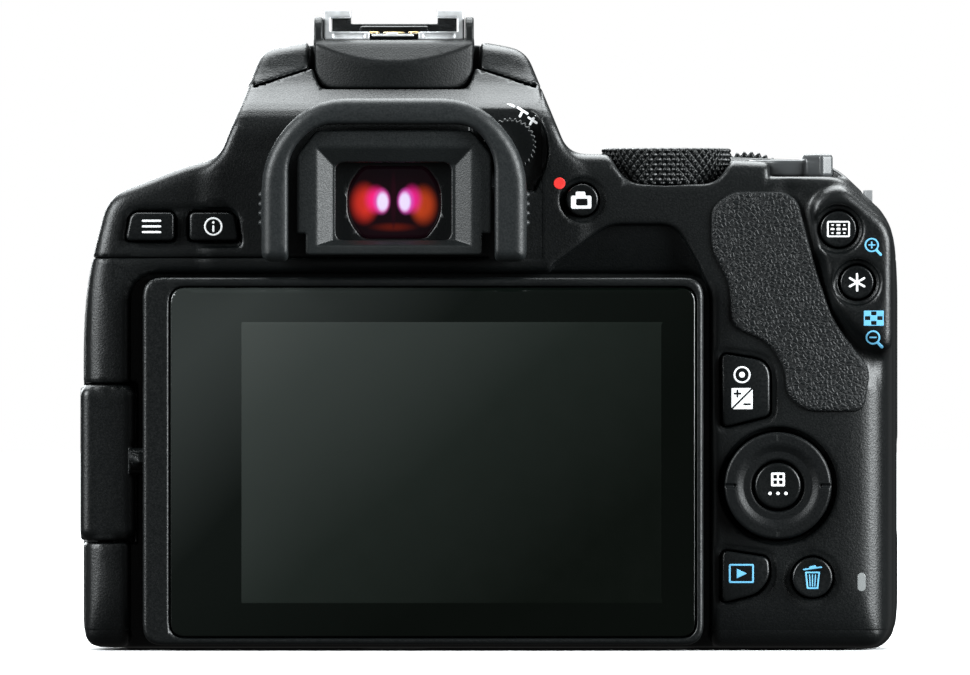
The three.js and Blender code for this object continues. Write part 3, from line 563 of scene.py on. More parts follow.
def eyepiece_glass():
    """The eyepiece: dark glass with painted reflections: red, rose and lilac glints, whitish highlights and
    dark bands in its base colour, which also glows.
    """
    made = Finish("eyepiece_painted_glints")
    x, z = -14.2, 67.5
    # Each painted glint: its middle in X, Z, its half width and height, how much of it is soft edge, its
    # colour.
    glints = [
        (x - 4.4, z - 0.3, 2.6, 3.7, 0.75, (0.42, 0.020, 0.012)),
        (x + 4.5, z - 0.6, 2.5, 3.6, 0.75, (0.36, 0.036, 0.008)),
        (x, z - 3.9, 4.4, 0.9, 0.9, (0.05, 0.004, 0.002)),
        (x - 2.7, z + 0.2, 2.1, 2.6, 0.8, (0.60, 0.010, 0.13)),
        (x + 2.8, z + 0.3, 1.9, 2.7, 0.8, (0.52, 0.010, 0.15)),
        (x, z + 4.6, 7.0, 2.2, 0.7, (0.003, 0.001, 0.002)),
        (x - 1.8, z, 1.55, 2.3, 0.5, (0.42, 0.05, 0.24)),
        (x + 1.85, z, 1.55, 2.3, 0.5, (0.42, 0.05, 0.28)),
        (x - 1.65, z - 0.1, 1.1, 1.8, 0.5, (0.50, 0.42, 0.60)),
        (x + 1.7, z - 0.1, 1.1, 1.8, 0.5, (0.50, 0.42, 0.60)),
        (x, z + 0.2, 0.55, 5.2, 0.6, (0.008, 0.001, 0.003)),
    ]
    color = (0.004, 0.001, 0.002, 1)
    for cx, cz, wide, tall, soft, tone in glints:
        moved = made.vector("ADD", made.place, (-cx * MM, 0, -cz * MM))
        scaled = made.vector("MULTIPLY", moved, (1000 / wide, 0, 1000 / tall))
        away = made.vector("LENGTH", scaled, output="Value")
        mask = made.remap(away, 1 - soft, 1.0, 1.0, 0.0, interpolation_type="SMOOTHSTEP")
        # 6 and 7 are the Mix node's colour inputs, and 2 is its colour output.
        mixed = made.add("Mix", {"Factor": mask, 6: color, 7: (*tone, 1)}, data_type="RGBA")
        color = mixed.outputs[2]
    # The painted glints glow by emission, so these reflections stay bright under any lamp.
    made.shader(Base_Color=color, Emission_Color=color, Emission_Strength=0.8, Roughness=0.06,
                Coat_Weight=0.3)
    return made.material


def circuit_board():
    """A green circuit board with pads and tracks."""
    made = Finish("circuit_board")
    cells = made.add("TexVoronoi", {"Vector": made.place, "Scale": 420.0}, distance="CHEBYCHEV")
    tone = made.ramp(cells.outputs["Distance"],
                     (0.16, (0.55, 0.42, 0.16)), (0.2, (0.012, 0.09, 0.035)), (0.9, (0.02, 0.14, 0.05)))
    made.shader(Base_Color=tone, Roughness=0.35)
    return made.material


BLACK = (0.0020, 0.0029, 0.0031)
SHELL = moulded("shell_plastic", BLACK, 0.37, 0.26, 0.016)
SHOE = moulded("shoe_plastic", BLACK, 0.45, 0.26, 0.016, 0.32)
TRIM = moulded("trim_plastic", (0.0020, 0.0028, 0.0030), 0.33, 0.25, 0.008, 0.42)
PAD_FACE = moulded("pad_plastic", (0.0022, 0.0030, 0.0033), 0.42, 0.26, 0.012, 0.33)
CAP = moulded("button_plastic", (0.003, 0.0039, 0.0042), 0.3, 0.3, 0.005)
INNER = moulded("inner_plastic", (0.0055, 0.0074, 0.0078), 0.45, 0.24, 0.014)
RUBBER = moulded("soft_rubber", (0.0075, 0.0096, 0.0104), 0.46, 0.3, 0.008)
BATTERY = moulded("battery_case", (0.05, 0.052, 0.055), 0.4, 0.4, 0.01)
LEATHER = leather("grip_leather", (0.0055, 0.0070, 0.0076), 0.62, 0.07, 0.42)
STEEL = metal("rail_steel", (0.80, 0.81, 0.82), 0.38, (12, 1, 12), 0.45)
RING = metal("mount_steel", (0.66, 0.67, 0.68), 0.3, (12, 1, 12), 0.8)
GOLD = metal("plated_contacts", (0.78, 0.57, 0.25), 0.3, (8, 8, 8), 0.8)
SILVER = metal("lug_steel", (0.70, 0.71, 0.72), 0.35, (12, 12, 1), 0.5)
MIRROR = metal("silvered_mirror", (0.86, 0.88, 0.90), 0.05, (1, 1, 1))
SATIN = polished("satin_dark", (0.055, 0.058, 0.060), 0.3, 0.15)
FROSTED = polished("flash_lens", (0.55, 0.56, 0.56), 0.25, 0.4)
LAMP = polished("access_lamp", (0.20, 0.21, 0.21), 0.3, 0.3)
SCREEN_MATTE = polished("focusing_matte", (0.42, 0.44, 0.45), 0.35, 0.1)
# Both carry a painted reflection: their stops run from pale at the top left to near black at the lower right.
GLASS = painted_reflection_panel("screen_glass", 0.14, (0.12, (0.026, 0.030, 0.028)), (0.4, (0.0028, 0.0042, 0.0034)),
              (0.8, (0.0004, 0.0012, 0.0006)))
DISPLAY = painted_reflection_panel("display_film", 0.24, (0.05, (0.055, 0.061, 0.057)), (0.3, (0.027, 0.032, 0.029)),
                (0.6, (0.0075, 0.0105, 0.0085)), (0.95, (0.0004, 0.0016, 0.0006)))
EYEGLASS = eyepiece_glass()
SENSOR = sensor_glass()
BOARD = circuit_board()
CYAN = paint("blue_ink", (0.13, 0.43, 0.66))
WHITE = paint("white_ink", (0.80, 0.82, 0.83))
RED = paint("red_ink", (0.75, 0.035, 0.03))


# ---------------------------------------------------------------- where things are
LENS_X, LENS_Z = LENS = (-14.1, 38.0)
RELEASE = (-47.8, 26)  # X, Z of the lens release button
HINGE = (-57.6, -22.4)  # X, Y of the screen's upright pin
TILT_SHAFT = (-25.5, 28.4)  # Y, Z
SCREEN_BOX = (-51.9, 32.4, 0.75, 56.05)  # from and to in X, then in Z
PAD_CENTRE = (43.6, 24.7)  # X, Z
PAD_X, PAD_Z = PAD_CENTRE
MODE_DIAL = (26.9, -14.5)  # X, Y
POWER = (45.5, -10)  # X, Y
MAIN_DIAL = (39.4, 67.2)  # X, Z
DIOPTRE = (3.3, 76)  # X, Z
FLASH_HINGE_Y, FLASH_HINGE_Z = -17.3, 85.6
FLASH_LENS = (LENS_X, 26.2, 79.96)
SHUTTER = np.array([47, 19, 69.5])
SHUTTER_LEAN = math.atan2(7, 14)
SHUTTER_AXIS = np.array([0, math.sin(SHUTTER_LEAN), math.cos(SHUTTER_LEAN)])
ISO = (50, 3.2)  # X, Y
DISPLAY_BUTTON = (27.5, 4)  # X, Y
# The buttons on the back: X, Z and a radius, or an outline.
BUTTONS = {
    "live_view_button": (14.15, 67.7, 2.4),
    "focus_point_button": (52.7, 63.3, 2.7),
    "exposure_lock_button": (55.5, 55.3, 2.5),
    "erase_button": (48.8, 10.9, 3.0),
    "menu_button": [(-54.5, 61.6, 0.8), (-47.2, 61.6, 0.8), (-47.2, 65.8, 0.8), (-53.7, 65.8, 1.2)],
    "info_button": [(-44.9, 61.6, 0.8), (-37.5, 61.6, 0.8), (-38.2, 65.8, 1.2), (-44.9, 65.8, 0.8)],
    "exposure_button": [(35.1, 44.6, 1), (35.3, 33.5, 1), (42.4, 35.3, 1), (42.4, 43.4, 2.5)],
    "playback_button": [(35.2, 15, 1), (35.2, 7.1, 1), (40.6, 8.5, 2.2), (42.4, 11, 1.2), (42.2, 13.9, 1)],
}


def shutter_bar(start, end, radius):
    """A round bar on the shutter button's axis."""
    return round_bar(SHUTTER + SHUTTER_AXIS * start, SHUTTER + SHUTTER_AXIS * end, radius)


def grown(corners, reach):
    """The corners of a convex outline moved out by reach."""
    middle = np.mean([c[:2] for c in corners], axis=0)
    return [(*(c[:2] + np.sign(np.array(c[:2]) - middle) * reach), c[2] + reach) for c in corners]


def button_hole(button, reach, y0, y1):
    if isinstance(button, tuple):
        return rod(Y, button[0], button[1], button[2] + reach, y0, y1)
    return prism(Y, grown(button, reach), y0, y1)


def flash_space(clearance):
    """What the lowered flash takes out of the top of the hump. Behind its hinge it ends in a round heel."""
    back = [(-40, 83.4), (-26.5, 87.8), (-1.7, 87.8), (11.8, 83.4), (11.8, 99), (-40, 99)]
    side = [(8.6, 84), (20, 76.5), (32, 83.2), (37, 83.2), (37, 99), (8.6, 99)]
    low, high, whole = prism(Y, [(x, z - clearance) for x, z in back], -30, 10)
    nose = prism(X, [(y - clearance, z - clearance) for y, z in side], -44, 16)

    def heeled(grid):
        dy, dz = grid[1] - FLASH_HINGE_Y, grid[2] - FLASH_HINGE_Z
        beside = np.abs(grid[0] - LENS_X) > 20.95 + clearance
        past = np.where(beside, 0.3, 2.85) + clearance - np.hypot(dy, dz)
        return np.maximum(whole(grid), -inside_all(dy, dz, past))

    return (low, high, heeled), nose


# ---------------------------------------------------------------- outer form
REAR_OUTLINE = [
    (-61.3, 0, 4.5), (58, 0, 3), (61.3, 3, 4), (61.3, 56, 5), (60.8, 64, 4), (51, 73.2, 4),
    (43.8, 73.4, 0.5), (15, 74.7, 6), (-42, 74.2, 6), (-57.2, 68.2, 3), (-61.3, 52, 10),
]
REAR_SIDE = [(-26, 90), (-26, 8.5, 7), (-23.6, 0, 3), (8, 0), (8, 90)]
REAR_PLAN = [
    (-61.3, -24.9, 6), (-52, -26, 3), (50, -26, 8), (59.8, -24.2, 4), (61.3, -14, 6), (61.3, 8), (-61.3, 8),
]
FRONT_OUTLINE = [
    (-60.2, 0, 7), (61.3, 0, 7), (61.3, 56, 5), (60.4, 63, 4), (50.5, 72.6, 4),
    (15, 74.2, 6), (-42, 71.2, 6), (-54.5, 63.5, 6), (-60.2, 50, 8),
]
HUMP_BACK = [
    (-42, 52), (14, 52), (14, 70), (5.7, 90.3, 2.4), (-2.4, 92.2, 4), (-25.8, 92.2, 4), (-34.1, 90.3, 2.4),
    (-42, 70),
]
HUMP_SIDE = [
    (-26, 52), (30.8, 52), (30.8, 71.4, 3), (35, 78, 4), (35, 83.6, 5), (14, 92.2, 12), (-13, 92.2, 3),
    (-17, 86, 4), (-26, 80, 4),
]
GRIP_PLAN = [(27, -5), (61.3, -5), (61.3, 20, 9), (52, 31, 9), (40, 31, 5), (33, 28, 6), (27, 14.5)]
GRIP_SIDE = [(-5, 0), (28, 0, 4), (31, 8, 6), (31, 60, 5), (26, 66, 4), (12, 73, 4), (-5, 73)]
CORNER_PLATE = [(48.2, 67.6, 3), (51.6, 45.5, 5), (60.9, 43.2, 4), (60.9, 63.6, 3), (52.7, 70.4, 4)]
BACK_Y = -26  # the shell's back face

rear_block = both(prism(Y, REAR_OUTLINE, BACK_Y, 4, 3.0), prism(Z, REAR_PLAN, -1, 80), 1.5)
hump = both(prism(Y, HUMP_BACK, BACK_Y, 35, 1.5), prism(X, HUMP_SIDE, -43, 15, 1.5), 1.5)
grip = both(prism(Z, GRIP_PLAN, 0, 75, 3), prism(X, GRIP_SIDE, 26, 61.3, 3), 3)
FORM = [
    add(both(rear_block, prism(X, REAR_SIDE, -62, 62), 1.0)),
    add(prism(Y, FRONT_OUTLINE, -12, 14.5, 3.0), 1),
    add(hump, 2.5),
    cut(block(-70, 70, -40, BACK_Y, -10, 100), 0.6),
    add(both(grip, prism(Y, FRONT_OUTLINE, -12, 40), 4), 5),
    add(rod(Y, *LENS, 36.5, 0, 30.8, 1.2), 4),
    add(rod(Y, *RELEASE, 7, 0, 25, 1.0), 2),
    add(prism(Y, CORNER_PLATE, -27.1, -18, 1.6), 1.0),
    cut(block(-70, 70, -40, 40, -10, 0), 0.4),
]

SCOOP = [(9.5, 55.5), (9.6, 57.8, 1), (18, 64, 2), (28.3, 64, 2.5), (32.4, 56.8, 2), (32.4, 40), (9.5, 40)]
SCOOP_SIDE = [(-40, 40), (-21.2, 40), (-21.2, 55), (-24.6, 64.6), (-40, 64.6)]
DIOPTRE_BAY = [
    (-2.6, 70), (-2.6, 83.6), (-1.4, 83.9, 0.4), (4.6, 82.9, 3), (8.6, 79, 4), (9.3, 74, 4), (7, 69),
]
DIAL_NOTCH = [(16.8, 79), (18.3, 74.2, 1), (21, 70.1, 2.5), (34.2, 70.1, 2.5), (36.6, 73.4, 1), (37.4, 79)]
SHOE_BACK = [
    (-25.2, 84.1, 2.2), (-3.2, 84.1, 2.2), (-1.9, 87.3, 1.4), (-1.8, 100), (-26.6, 100), (-26.5, 87.3, 1.4),
]
SHOE_BAY = [(-19.0, 84.0), (-19.0, 100), (8.9, 100), (8.9, 80), (-14, 80), (-14, 84.0)]
MENU_BAY = [(-55.1, 60.6, 1.2), (-36.9, 60.6, 1.2), (-37.8, 66.5, 1.6), (-54.4, 66.5, 1.8)]
SCREEN_BAY = rectangle(SCREEN_BOX[0] - 2, -8, SCREEN_BOX[1] + 1.1, SCREEN_BOX[3] + 0.7, 4.5)
# The groove round the corner plate: each point, and the radius of the stretch after it.
GROOVE = [
    ((45.4, -27.1, 68.6), 1.7), ((48.3, -27.0, 57.5), 1.9), ((51.8, -26.9, 48.2), 2.1),
    ((61.5, -25.4, 40.6), 0),
]
OPEN_Y = -40  # well behind the back face
WELLS = [
    cut(prism(Y, SCREEN_BAY, OPEN_Y, -21), 1.6),
    cut(both(prism(Y, SCOOP, OPEN_Y, -20), prism(X, SCOOP_SIDE, 5, 36)), 0.7),
    cut(block(-70, -53.1, OPEN_Y, -17.9, 16.2, 40.1), 0.6),
    cut(rod(Z, *MODE_DIAL, 10.3, 69.4, 84), 0.5),
    cut(prism(Y, DIAL_NOTCH, OPEN_Y, -14.5), 0.8),
    cut(rod(Y, *MAIN_DIAL, 8.5, 4.2, 10.8), 0.5),
    cut(rod(Z, *POWER, 6.7, 71.2, 84), 0.4),
    cut(both(rod(Z, *POWER, 10.5, 71.2, 84), block(43, 62, -30, -2, 66, 84)), 0.8),
    cut(block(42.4, 62, OPEN_Y, -10, 71.2, 84), 1.2),
    cut(prism(Y, DIOPTRE_BAY, OPEN_Y, -23.8), 0.4),
    cut(block(-70, -58.7, -4.9, 10.9, 17.6, 50.4, 0.8), 0.3),
    cut(block(59.2, 70, -4.4, 4.4, 17.6, 31.4, 0.8), 0.3),
    cut(both(prism(X, SHOE_BAY, -26.9, -1.4), prism(Y, SHOE_BACK, -30, 10)), 0.2),
    cut(prism(Y, MENU_BAY, OPEN_Y, -25.35), 0.4),
]
for (start, radius), (end, _) in zip(GROOVE, GROOVE[1:]):
    WELLS.append(cut(capsule(start, end, radius), 1.8))
WELLS.append(cut(rod(Y, *PAD_CENTRE, 8.75, OPEN_Y, -24.4), 0.6))
WELLS += [cut(shape, 0.1) for shape in flash_space(0.25)]
for side in (-1, 1):  # the pockets beside the flash's hinge, for its heels
    inner, outer = ((LENS_X + side * reach, FLASH_HINGE_Y, FLASH_HINGE_Z) for reach in (18.6, 21.3))
    pocket = block(*sorted((LENS_X + side * 15, LENS_X + side * 21.2)), -22, -12, 80, 90)
    WELLS.append(cut(both(capsule(inner, outer, 0.5, 1.95), pocket), 0.05))
for name, button in BUTTONS.items():
    if name in ("focus_point_button", "exposure_lock_button"):
        WELLS.append(cut(button_hole(button, 0.9, OPEN_Y, -26.2), 0.8))
    elif name not in ("menu_button", "info_button"):
        WELLS.append(cut(button_hole(button, 0.8, OPEN_Y, -25.4), 0.7))

HOLES = [cut(button_hole(button, 0.28, OPEN_Y, -20), 0.2) for button in BUTTONS.values()]
HOLES += [
    cut(rod(Y, *PAD_CENTRE, 8.4, OPEN_Y, -20), 0.2),
    cut(prism(Y, rectangle(-24.6, 59.5, -3.6, 75.5, 1), OPEN_Y, -10), 0.2),
    cut(rod(Y, *LENS, 28.6, 15, 40), 0.2),
    cut(rod(Y, *RELEASE, 4.95, 15, 40), 0.3),
    cut(block(-60, -50, -2.3, 9.3, 23.7, 46.3, 0.6), 0.3),
    cut(rod(Z, LENS_X, 4, 5.3, -2, 5), 0.2),
    cut(block(30.7, 55.8, -14.3, 22.3, -2, 4.5), 0.3),
    cut(rod(Z, *ISO, 2.45, 66, 80), 0.3),
    cut(rod(Z, *DISPLAY_BUTTON, 2.45, 66, 80), 0.3),
    cut(block(56.7, 58.5, -3.3, 9.3, 59.5, 80), 0.2),
    cut(block(-58.1, -56.3, -1.3, 11.3, 56.4, 80), 0.2),
    cut(rod(Z, *MODE_DIAL, 2.4, 60, 75)),
    cut(rod(Z, *POWER, 2.4, 60, 75)),
    cut(rod(Z, *HINGE, 1.5, 14.3, 42)),
    cut(shutter_bar(-4.5, 6, 5.9), 0.5),
]


# ---------------------------------------------------------------- the four covers
WALL = 2.0
COVER_SEAM_Y, TOP_SEAM_Z, BASE_SEAM_Z = -6.0, 59.0, 2.75
SEAM = 0.06


def cover(name, low, high, step, region, lip, node, sunk=lambda x: 0.06):
    """One moulded cover: the walls in its region, and a hidden lip that reaches under its neighbour."""
    field = carve(Field(low, high, step), FORM + WELLS)
    field.keep(-(field.values + WALL), 0.3)
    carve(field, HOLES)
    x, y, z = field.everywhere()
    allowed = region(x, y, z)
    if lip:
        allowed = np.minimum(allowed, np.maximum(lip(x, y, z), field.values + sunk(x)))
    field.keep(allowed, 0.12)
    surface(name, field, SHELL, "camera_body", [node], 0.02)


def rear_region(x, y, z):
    low_part = inside_all(y - (COVER_SEAM_Y - SEAM), z - (TOP_SEAM_Z - SEAM), BASE_SEAM_Z + SEAM - z)
    high_part = inside_all(8 - x, y + 18, TOP_SEAM_Z - 1 - z)
    return np.minimum(low_part, high_part)


def front_region(reach):
    return lambda x, y, z: 0 * x + inside_all(
        COVER_SEAM_Y + SEAM - reach - y, z - (TOP_SEAM_Z - SEAM), BASE_SEAM_Z + SEAM - z)


def top_region(reach, corner):
    return lambda x, y, z: np.maximum(
        TOP_SEAM_Z + SEAM - reach - z, -np.maximum(8 + corner - x, y + 18 + corner))


def base_region(reach):
    return lambda x, y, z: z - (BASE_SEAM_Z - SEAM + reach) + 0 * (x + y)


def top_lip_depth(x):
    """The top cover's lip lies deeper on the left half."""
    return np.where(x < 0, 0.5, 0.06)


cover("shell_rear", (-63, -28.5, 1), (63, -4, 86), 0.3, rear_region, None, "rear_cover")
cover("shell_front", (-63, -9, 1), (63, 33, 61), 0.42, front_region(0), front_region(1.5), "front_cover")
cover("shell_top", (-63, -28.5, 56), (63, 37, 94), 0.34, top_region(0, -0.04), top_region(1.5, 1.2),
      "top_cover", top_lip_depth)
cover("shell_base", (-63, -28.5, -2), (63, 33, 6), 0.42, base_region(0), base_region(1.2), "base_plate")


# ---------------------------------------------------------------- screen, buttons and dials
part("screen_arm", (-62, -27, 14), (-49.5, -18, 42.5), 0.16, [
    add(rod(Z, *HINGE, 3.7, 16.5, 39.8, 0.5)),
    add(block(-61.3, -53.1, -26.1, -20.6, 16.5, 39.8, 1.6), 0.3),
    add(rod(X, *TILT_SHAFT, 2.0, -54, -50.4), 0.2),
    add(rod(Z, *HINGE, 1.2, 14.9, 41.4)),
], SHELL, "screen_arm", ["screen_hinge"], 0.02)
x0, x1, z0, z1 = SCREEN_BOX
part("screen_case", (x0 - 1, -30, z0 - 1), (x1 + 1, -21, z1 + 1), 0.26, [
    add(prism(Y, rectangle(x0, z0, x1, z1, 3), -29, -22, 0.7)),
    cut(prism(Y, rectangle(-47.95, 1.8, 31.4, 54.7, 2.4), OPEN_Y, -27.6), 0.25),
    cut(rod(X, *TILT_SHAFT, 2.4, -55, -50.0), 0.3),
], SHELL, "screen", ["screen_case"], 0.02)
part("screen_glass", (-48, -29.4, 1.6), (31.5, -27.4, 54.9), 0.2, [
    add(prism(Y, rectangle(-47.7, 2.05, 31.15, 54.45, 2.2), -28.95, -27.7, 0.12)),
], GLASS, "screen", ["screen_glass"], 0.02)
part("screen_display", (-38.5, -29.6, 6), (27.5, -28, 50.5), 0.2, [
    add(prism(Y, rectangle(-37.3, 6.9, 26.5, 49.5, 0.3), -28.962, -28.5)),
], DISPLAY, "screen", [], 0.02)

CAP_ROOT_Y = -23


def cap_steps(button):
    """A button's cap: the round ones are dished, the others slightly crowned."""
    if isinstance(button, tuple):
        face = -26.75
        return [add(rod(Y, *button, face, CAP_ROOT_Y, 0.4)), cut(dish(*button[:2], face, 9, 0.35), 0.4)]
    x, z = np.array([corner[:2] for corner in button]).mean(axis=0)
    return [add(both(prism(Y, button, -27.2, CAP_ROOT_Y, 0.45), ball(x, -26.72 + 26, z, 26), 0.4))]


for name, button in BUTTONS.items():
    room = around(button_hole(button, 0, -27.2, CAP_ROOT_Y))
    part(name + "_cap", *room, 0.12, cap_steps(button), CAP, name, [name])

PAD_FRONT = -27.5
NOTCH_Y = -27.6
part("pad_ring", (35, -28.2, 16), (52.2, -24, 33.4), 0.12, [
    add(rod(Y, *PAD_CENTRE, 8.05, PAD_FRONT, -24.9, 0.5)),
    cut(both(rod(Y, *PAD_CENTRE, 6.35, -30, -27), dish(*PAD_CENTRE, PAD_FRONT, 13.2, 1.55)), 0.2),
    cut(rod(Y, *PAD_CENTRE, 3.85, -30, -20), 0.5),
    cut(tube(PAD_X, -27.1, PAD_Z, 6.4, 0.2), 0.1),
    cut(capsule((35.2, NOTCH_Y, PAD_Z), (37.0, NOTCH_Y, PAD_Z), 0.34), 0.1),
    cut(capsule((50.2, NOTCH_Y, PAD_Z), (52, NOTCH_Y, PAD_Z), 0.34), 0.1),
    cut(capsule((PAD_X, NOTCH_Y, 31.6), (PAD_X, NOTCH_Y, 33), 0.16), 0.1),
    cut(capsule((PAD_X, NOTCH_Y, 16.4), (PAD_X, NOTCH_Y, 17.8), 0.16), 0.1),
], PAD_FACE, "direction_pad", ["direction_pad"])
SET_Y = -27.6
SET_CAP = [add(rod(Y, *PAD_CENTRE, 3.45, SET_Y, -22.6, 0.5)), cut(dish(*PAD_CENTRE, SET_Y, 14, 0.3), 0.4)]
part("set_cap", (39, -28.4, 20), (48.2, -22, 29.4), 0.12, SET_CAP, TRIM, "set_button", ["set_button"])

THUMB_PAD = [
    (33.6, 66.6, 1.5), (33.6, 60.2, 2), (36.4, 55, 2), (36.5, 48.6, 2), (42.5, 46, 2.5), (44.8, 41.8, 2),
    (44.8, 38.6, 2), (47.6, 35.8, 2), (56.6, 35.8, 1.8), (57.6, 42.2, 1.6), (52, 49.4, 3), (49.4, 57, 4),
    (46.6, 67.6, 2), (44.6, 69, 1.5), (36.6, 69, 1.5),
]
THUMB_THICKNESS = 0.55
thumb = carve(Field((32.5, -28, 34.4), (59, -23.2, 70), 0.2), FORM[:1])
thumb.values = thumb.values - THUMB_THICKNESS
across, _, upward = thumb.everywhere()
thumb.keep(outline_distance(across, upward, rounded(THUMB_PAD)), 0.7)
thumb.cut(block(30, 62, -24.4, -20, 30, 74), 0.0)
surface("thumb_grip", thumb, LEATHER, "camera_body", ["thumb_rubber"])

part("dioptre_wheel", (-1.3, -27.4, 71.4), (7.9, -23.8, 80.6), 0.09, [
    add(toothed(Y, *DIOPTRE, 4.05, -26.5, -24.5, 0.35, ridges(30), 0.35)),
    cut(dish(*DIOPTRE, -26.5, 10, 0.35), 0.3),
], TRIM, "dioptre_dial", ["dioptre_dial"])
part("mode_wheel", (16.8, -24.6, 65.5), (37, -4.4, 76.4), 0.13, [
    add(toothed(Z, *MODE_DIAL, 9.85, 70, 75.55, 0.42, diamonds(46, 1.5, 70), 0.5)),
    cut(prism(Z, circle(*MODE_DIAL, 8.3), 75.2, 80), 0.3),
    add(rod(Z, *MODE_DIAL, 8.1, 74, 75.45, 0.25), 0.1),
    add(rod(Z, *MODE_DIAL, 2, 66, 71), 0.2),
], TRIM, "mode_dial", ["mode_dial"])
part("main_wheel", (30.6, 2.9, 58.4), (48.2, 12.1, 76), 0.15, [
    add(toothed(Y, *MAIN_DIAL, 8.05, 4.7, 10.3, 0.5, ridges(44), 0.6)),
    add(rod(Y, *MAIN_DIAL, 1.2, 3.3, 11.7)),
], TRIM, "main_dial", ["main_dial"])

LEVER_ANGLE = math.radians(-54.4)
LEVER_REACH = 7.2
KNOB = np.array(POWER) + LEVER_REACH * np.array([math.cos(LEVER_ANGLE), math.sin(LEVER_ANGLE)])
part("power_switch", (38.6, -20, 67), (54, -3, 75.8), 0.14, [
    add(rod(Z, *POWER, 6.2, 71.35, 73.8, 0.4)),
    cut(rod(Z, *POWER, 4.7, 73.3, 80), 0.2),
    add(rod(Z, *POWER, 4.4, 73, 73.6, 0.2), 0.1),
    add(turned(*KNOB, LEVER_ANGLE, (2.6, 1.25, 1.75), 72.9, 0.6), 0.6),
    add(rod(Z, *POWER, 2, 67.5, 72)),
], SATIN, "power_lever", ["power_lever"])
for name, place, crown in (("iso_button", ISO, 74.0), ("display_button", DISPLAY_BUTTON, 75.0)):
    cap = rod(Z, *place, 2.1, 69, crown, 0.35)
    part(name + "_cap", *around(cap), 0.12, [add(cap), cut(ball(*place, crown + 8 - 0.25, 8), 0.3)],
         CAP, name, [name])
part("shutter_cap", (40.6, 11, 63.5), (53.4, 26, 75), 0.15, [
    add(shutter_bar(-2.2, 0.9, 5.45)),
    add(both(shutter_bar(-2.2, 4, 5.45), ball(*(SHUTTER - SHUTTER_AXIS * 14.5), 16.1)), 0.4),
    add(shutter_bar(-5, -2, 2), 0.2),
], SATIN, "shutter_button", ["shutter_button"])


# ---------------------------------------------------------------- shoe, flash and eyecup
HOUSING_SIDE = [
    (-20.4, 84.4, 0.2), (-20.4, 86.6), (-15.4, 91.9, 1.2), (8, 91.9, 0.5), (8, 87.6), (-13.8, 87.6),
    (-13.8, 84.4),
]
HOUSING_BACK = [
    (-25.0, 84.35, 2.0), (-3.4, 84.35, 2.0), (-2.2, 87.4, 1.2), (-2.1, 93), (-26.3, 93), (-26.2, 87.4, 1.2),
]
EAR = [(-15.6, 90), (7.2, 90), (7.2, 95.4, 1), (-14.4, 95.4, 2.5)]
housing = both(prism(X, HOUSING_SIDE, -26.4, -1.9, 0.3), prism(Y, HOUSING_BACK, -22, 8, 0.3), 0.8)
part("shoe_housing", (-27.4, -20, 83), (-1, 9.2, 96.6), 0.17, [
    add(both(housing, rod(Z, -14.2, 10.4, 29, 83, 94), 0.4)),
    add(prism(X, EAR, -26.25, -24.95, 0.3), 0.5),
    add(prism(X, EAR, -3.45, -2.15, 0.3), 0.5),
    cut(block(-24.95, -3.45, -12.7, 6.2, 91.75, 99), 0.1),
], SHOE, "camera_body", ["shoe_base"], 0.01)
part("shoe_rails", (-25.4, -13.2, 91.4), (-3, 6.8, 97), 0.13, [
    add(block(-24.85, -3.55, -12.6, 6, 91.9, 96.5, 0.35)),
    cut(block(-23.75, -4.65, -14, 8, 93.2, 95.4, 0.1), 0.1),
    cut(block(-20.7, -7.7, -14, 8, 93.2, 99), 0.15),
    cut(block(-17.9, -10.5, -14, 8, 91, 94), 0.15),
    cut(block(-23.4, -18.6, -13.2, -12.3, 92.25, 92.95, 0.2), 0.1),
    cut(block(-9.8, -5.0, -13.2, -12.3, 92.25, 92.95, 0.2), 0.1),
    add(block(-22, -6.4, -11.4, 5.8, 92, 92.6), 0.1),
    add(block(-17.6, -11.2, -12.7, -11, 92.45, 92.75, 0.1)),
    add(block(-15.4, -13.6, -12.7, -11, 92.5, 93.05, 0.1), 0.1),
], STEEL, "camera_body", ["hot_shoe"], 0.01)
part("shoe_bed", (-24.4, -12.9, 91.6), (-4, 6.6, 95.6), 0.16, [
    add(block(-18.6, -9.8, -12.2, 5.7, 92, 92.95, 0.2)),
    add(block(-23.6, -4.8, 4.4, 5.7, 92.3, 94.6, 0.2), 0.1),
    add(block(-23.65, -20.75, 4.4, 5.7, 92.3, 95.5, 0.1), 0.1),
    add(block(-7.65, -4.75, 4.4, 5.7, 92.3, 95.5, 0.1), 0.1),
    add(block(-19.4, -9.0, 1.6, 5.0, 92.3, 94.2, 0.3), 0.2),
], TRIM, "camera_body")
CONTACTS = [
    (-14.2, -3.4, 1.7), (-17.2, -8.6, 0.85), (-11.2, -8.6, 0.85), (-17.4, 0.6, 0.85), (-11.0, 0.6, 0.85),
]
for number, (x, y, radius) in enumerate(CONTACTS):
    part("shoe_contact_%d" % number, (x - 2, y - 2, 92.2), (x + 2, y + 2, 93.8), 0.12, [
        add(rod(Z, x, y, radius, 92.5, 93.25, 0.2)),
    ], GOLD, "camera_body")

FLASH_GRID = ((-44, -21, 74), (18, 36.5, 93.5), 0.32)
FLASH_TILT = math.atan2(6.7, 12)
flash = carve(Field(*FLASH_GRID), [add(hump)])
taken = carve(Field(*FLASH_GRID), [add(shape) for shape in flash_space(0)])
flash.keep(taken.values, 0.2)
carve(flash, [
    cut(block(-27.1, -1.1, -30, 9.2, 80, 100), 0.5),
    cut(slanted(*FLASH_LENS, FLASH_TILT, (13.4, 4.9, 1.6)), 0.3),
])
surface("flash_housing", flash, SHELL, "flash", ["flash_head"], 0.02)
part("flash_lens", (-28.5, 20, 76.5), (0.5, 31.6, 84.6), 0.2, [
    add(slanted(*FLASH_LENS, FLASH_TILT, (13, 4.5, 1.05), 0.5)),
], FROSTED, "flash", ["flash_window"])

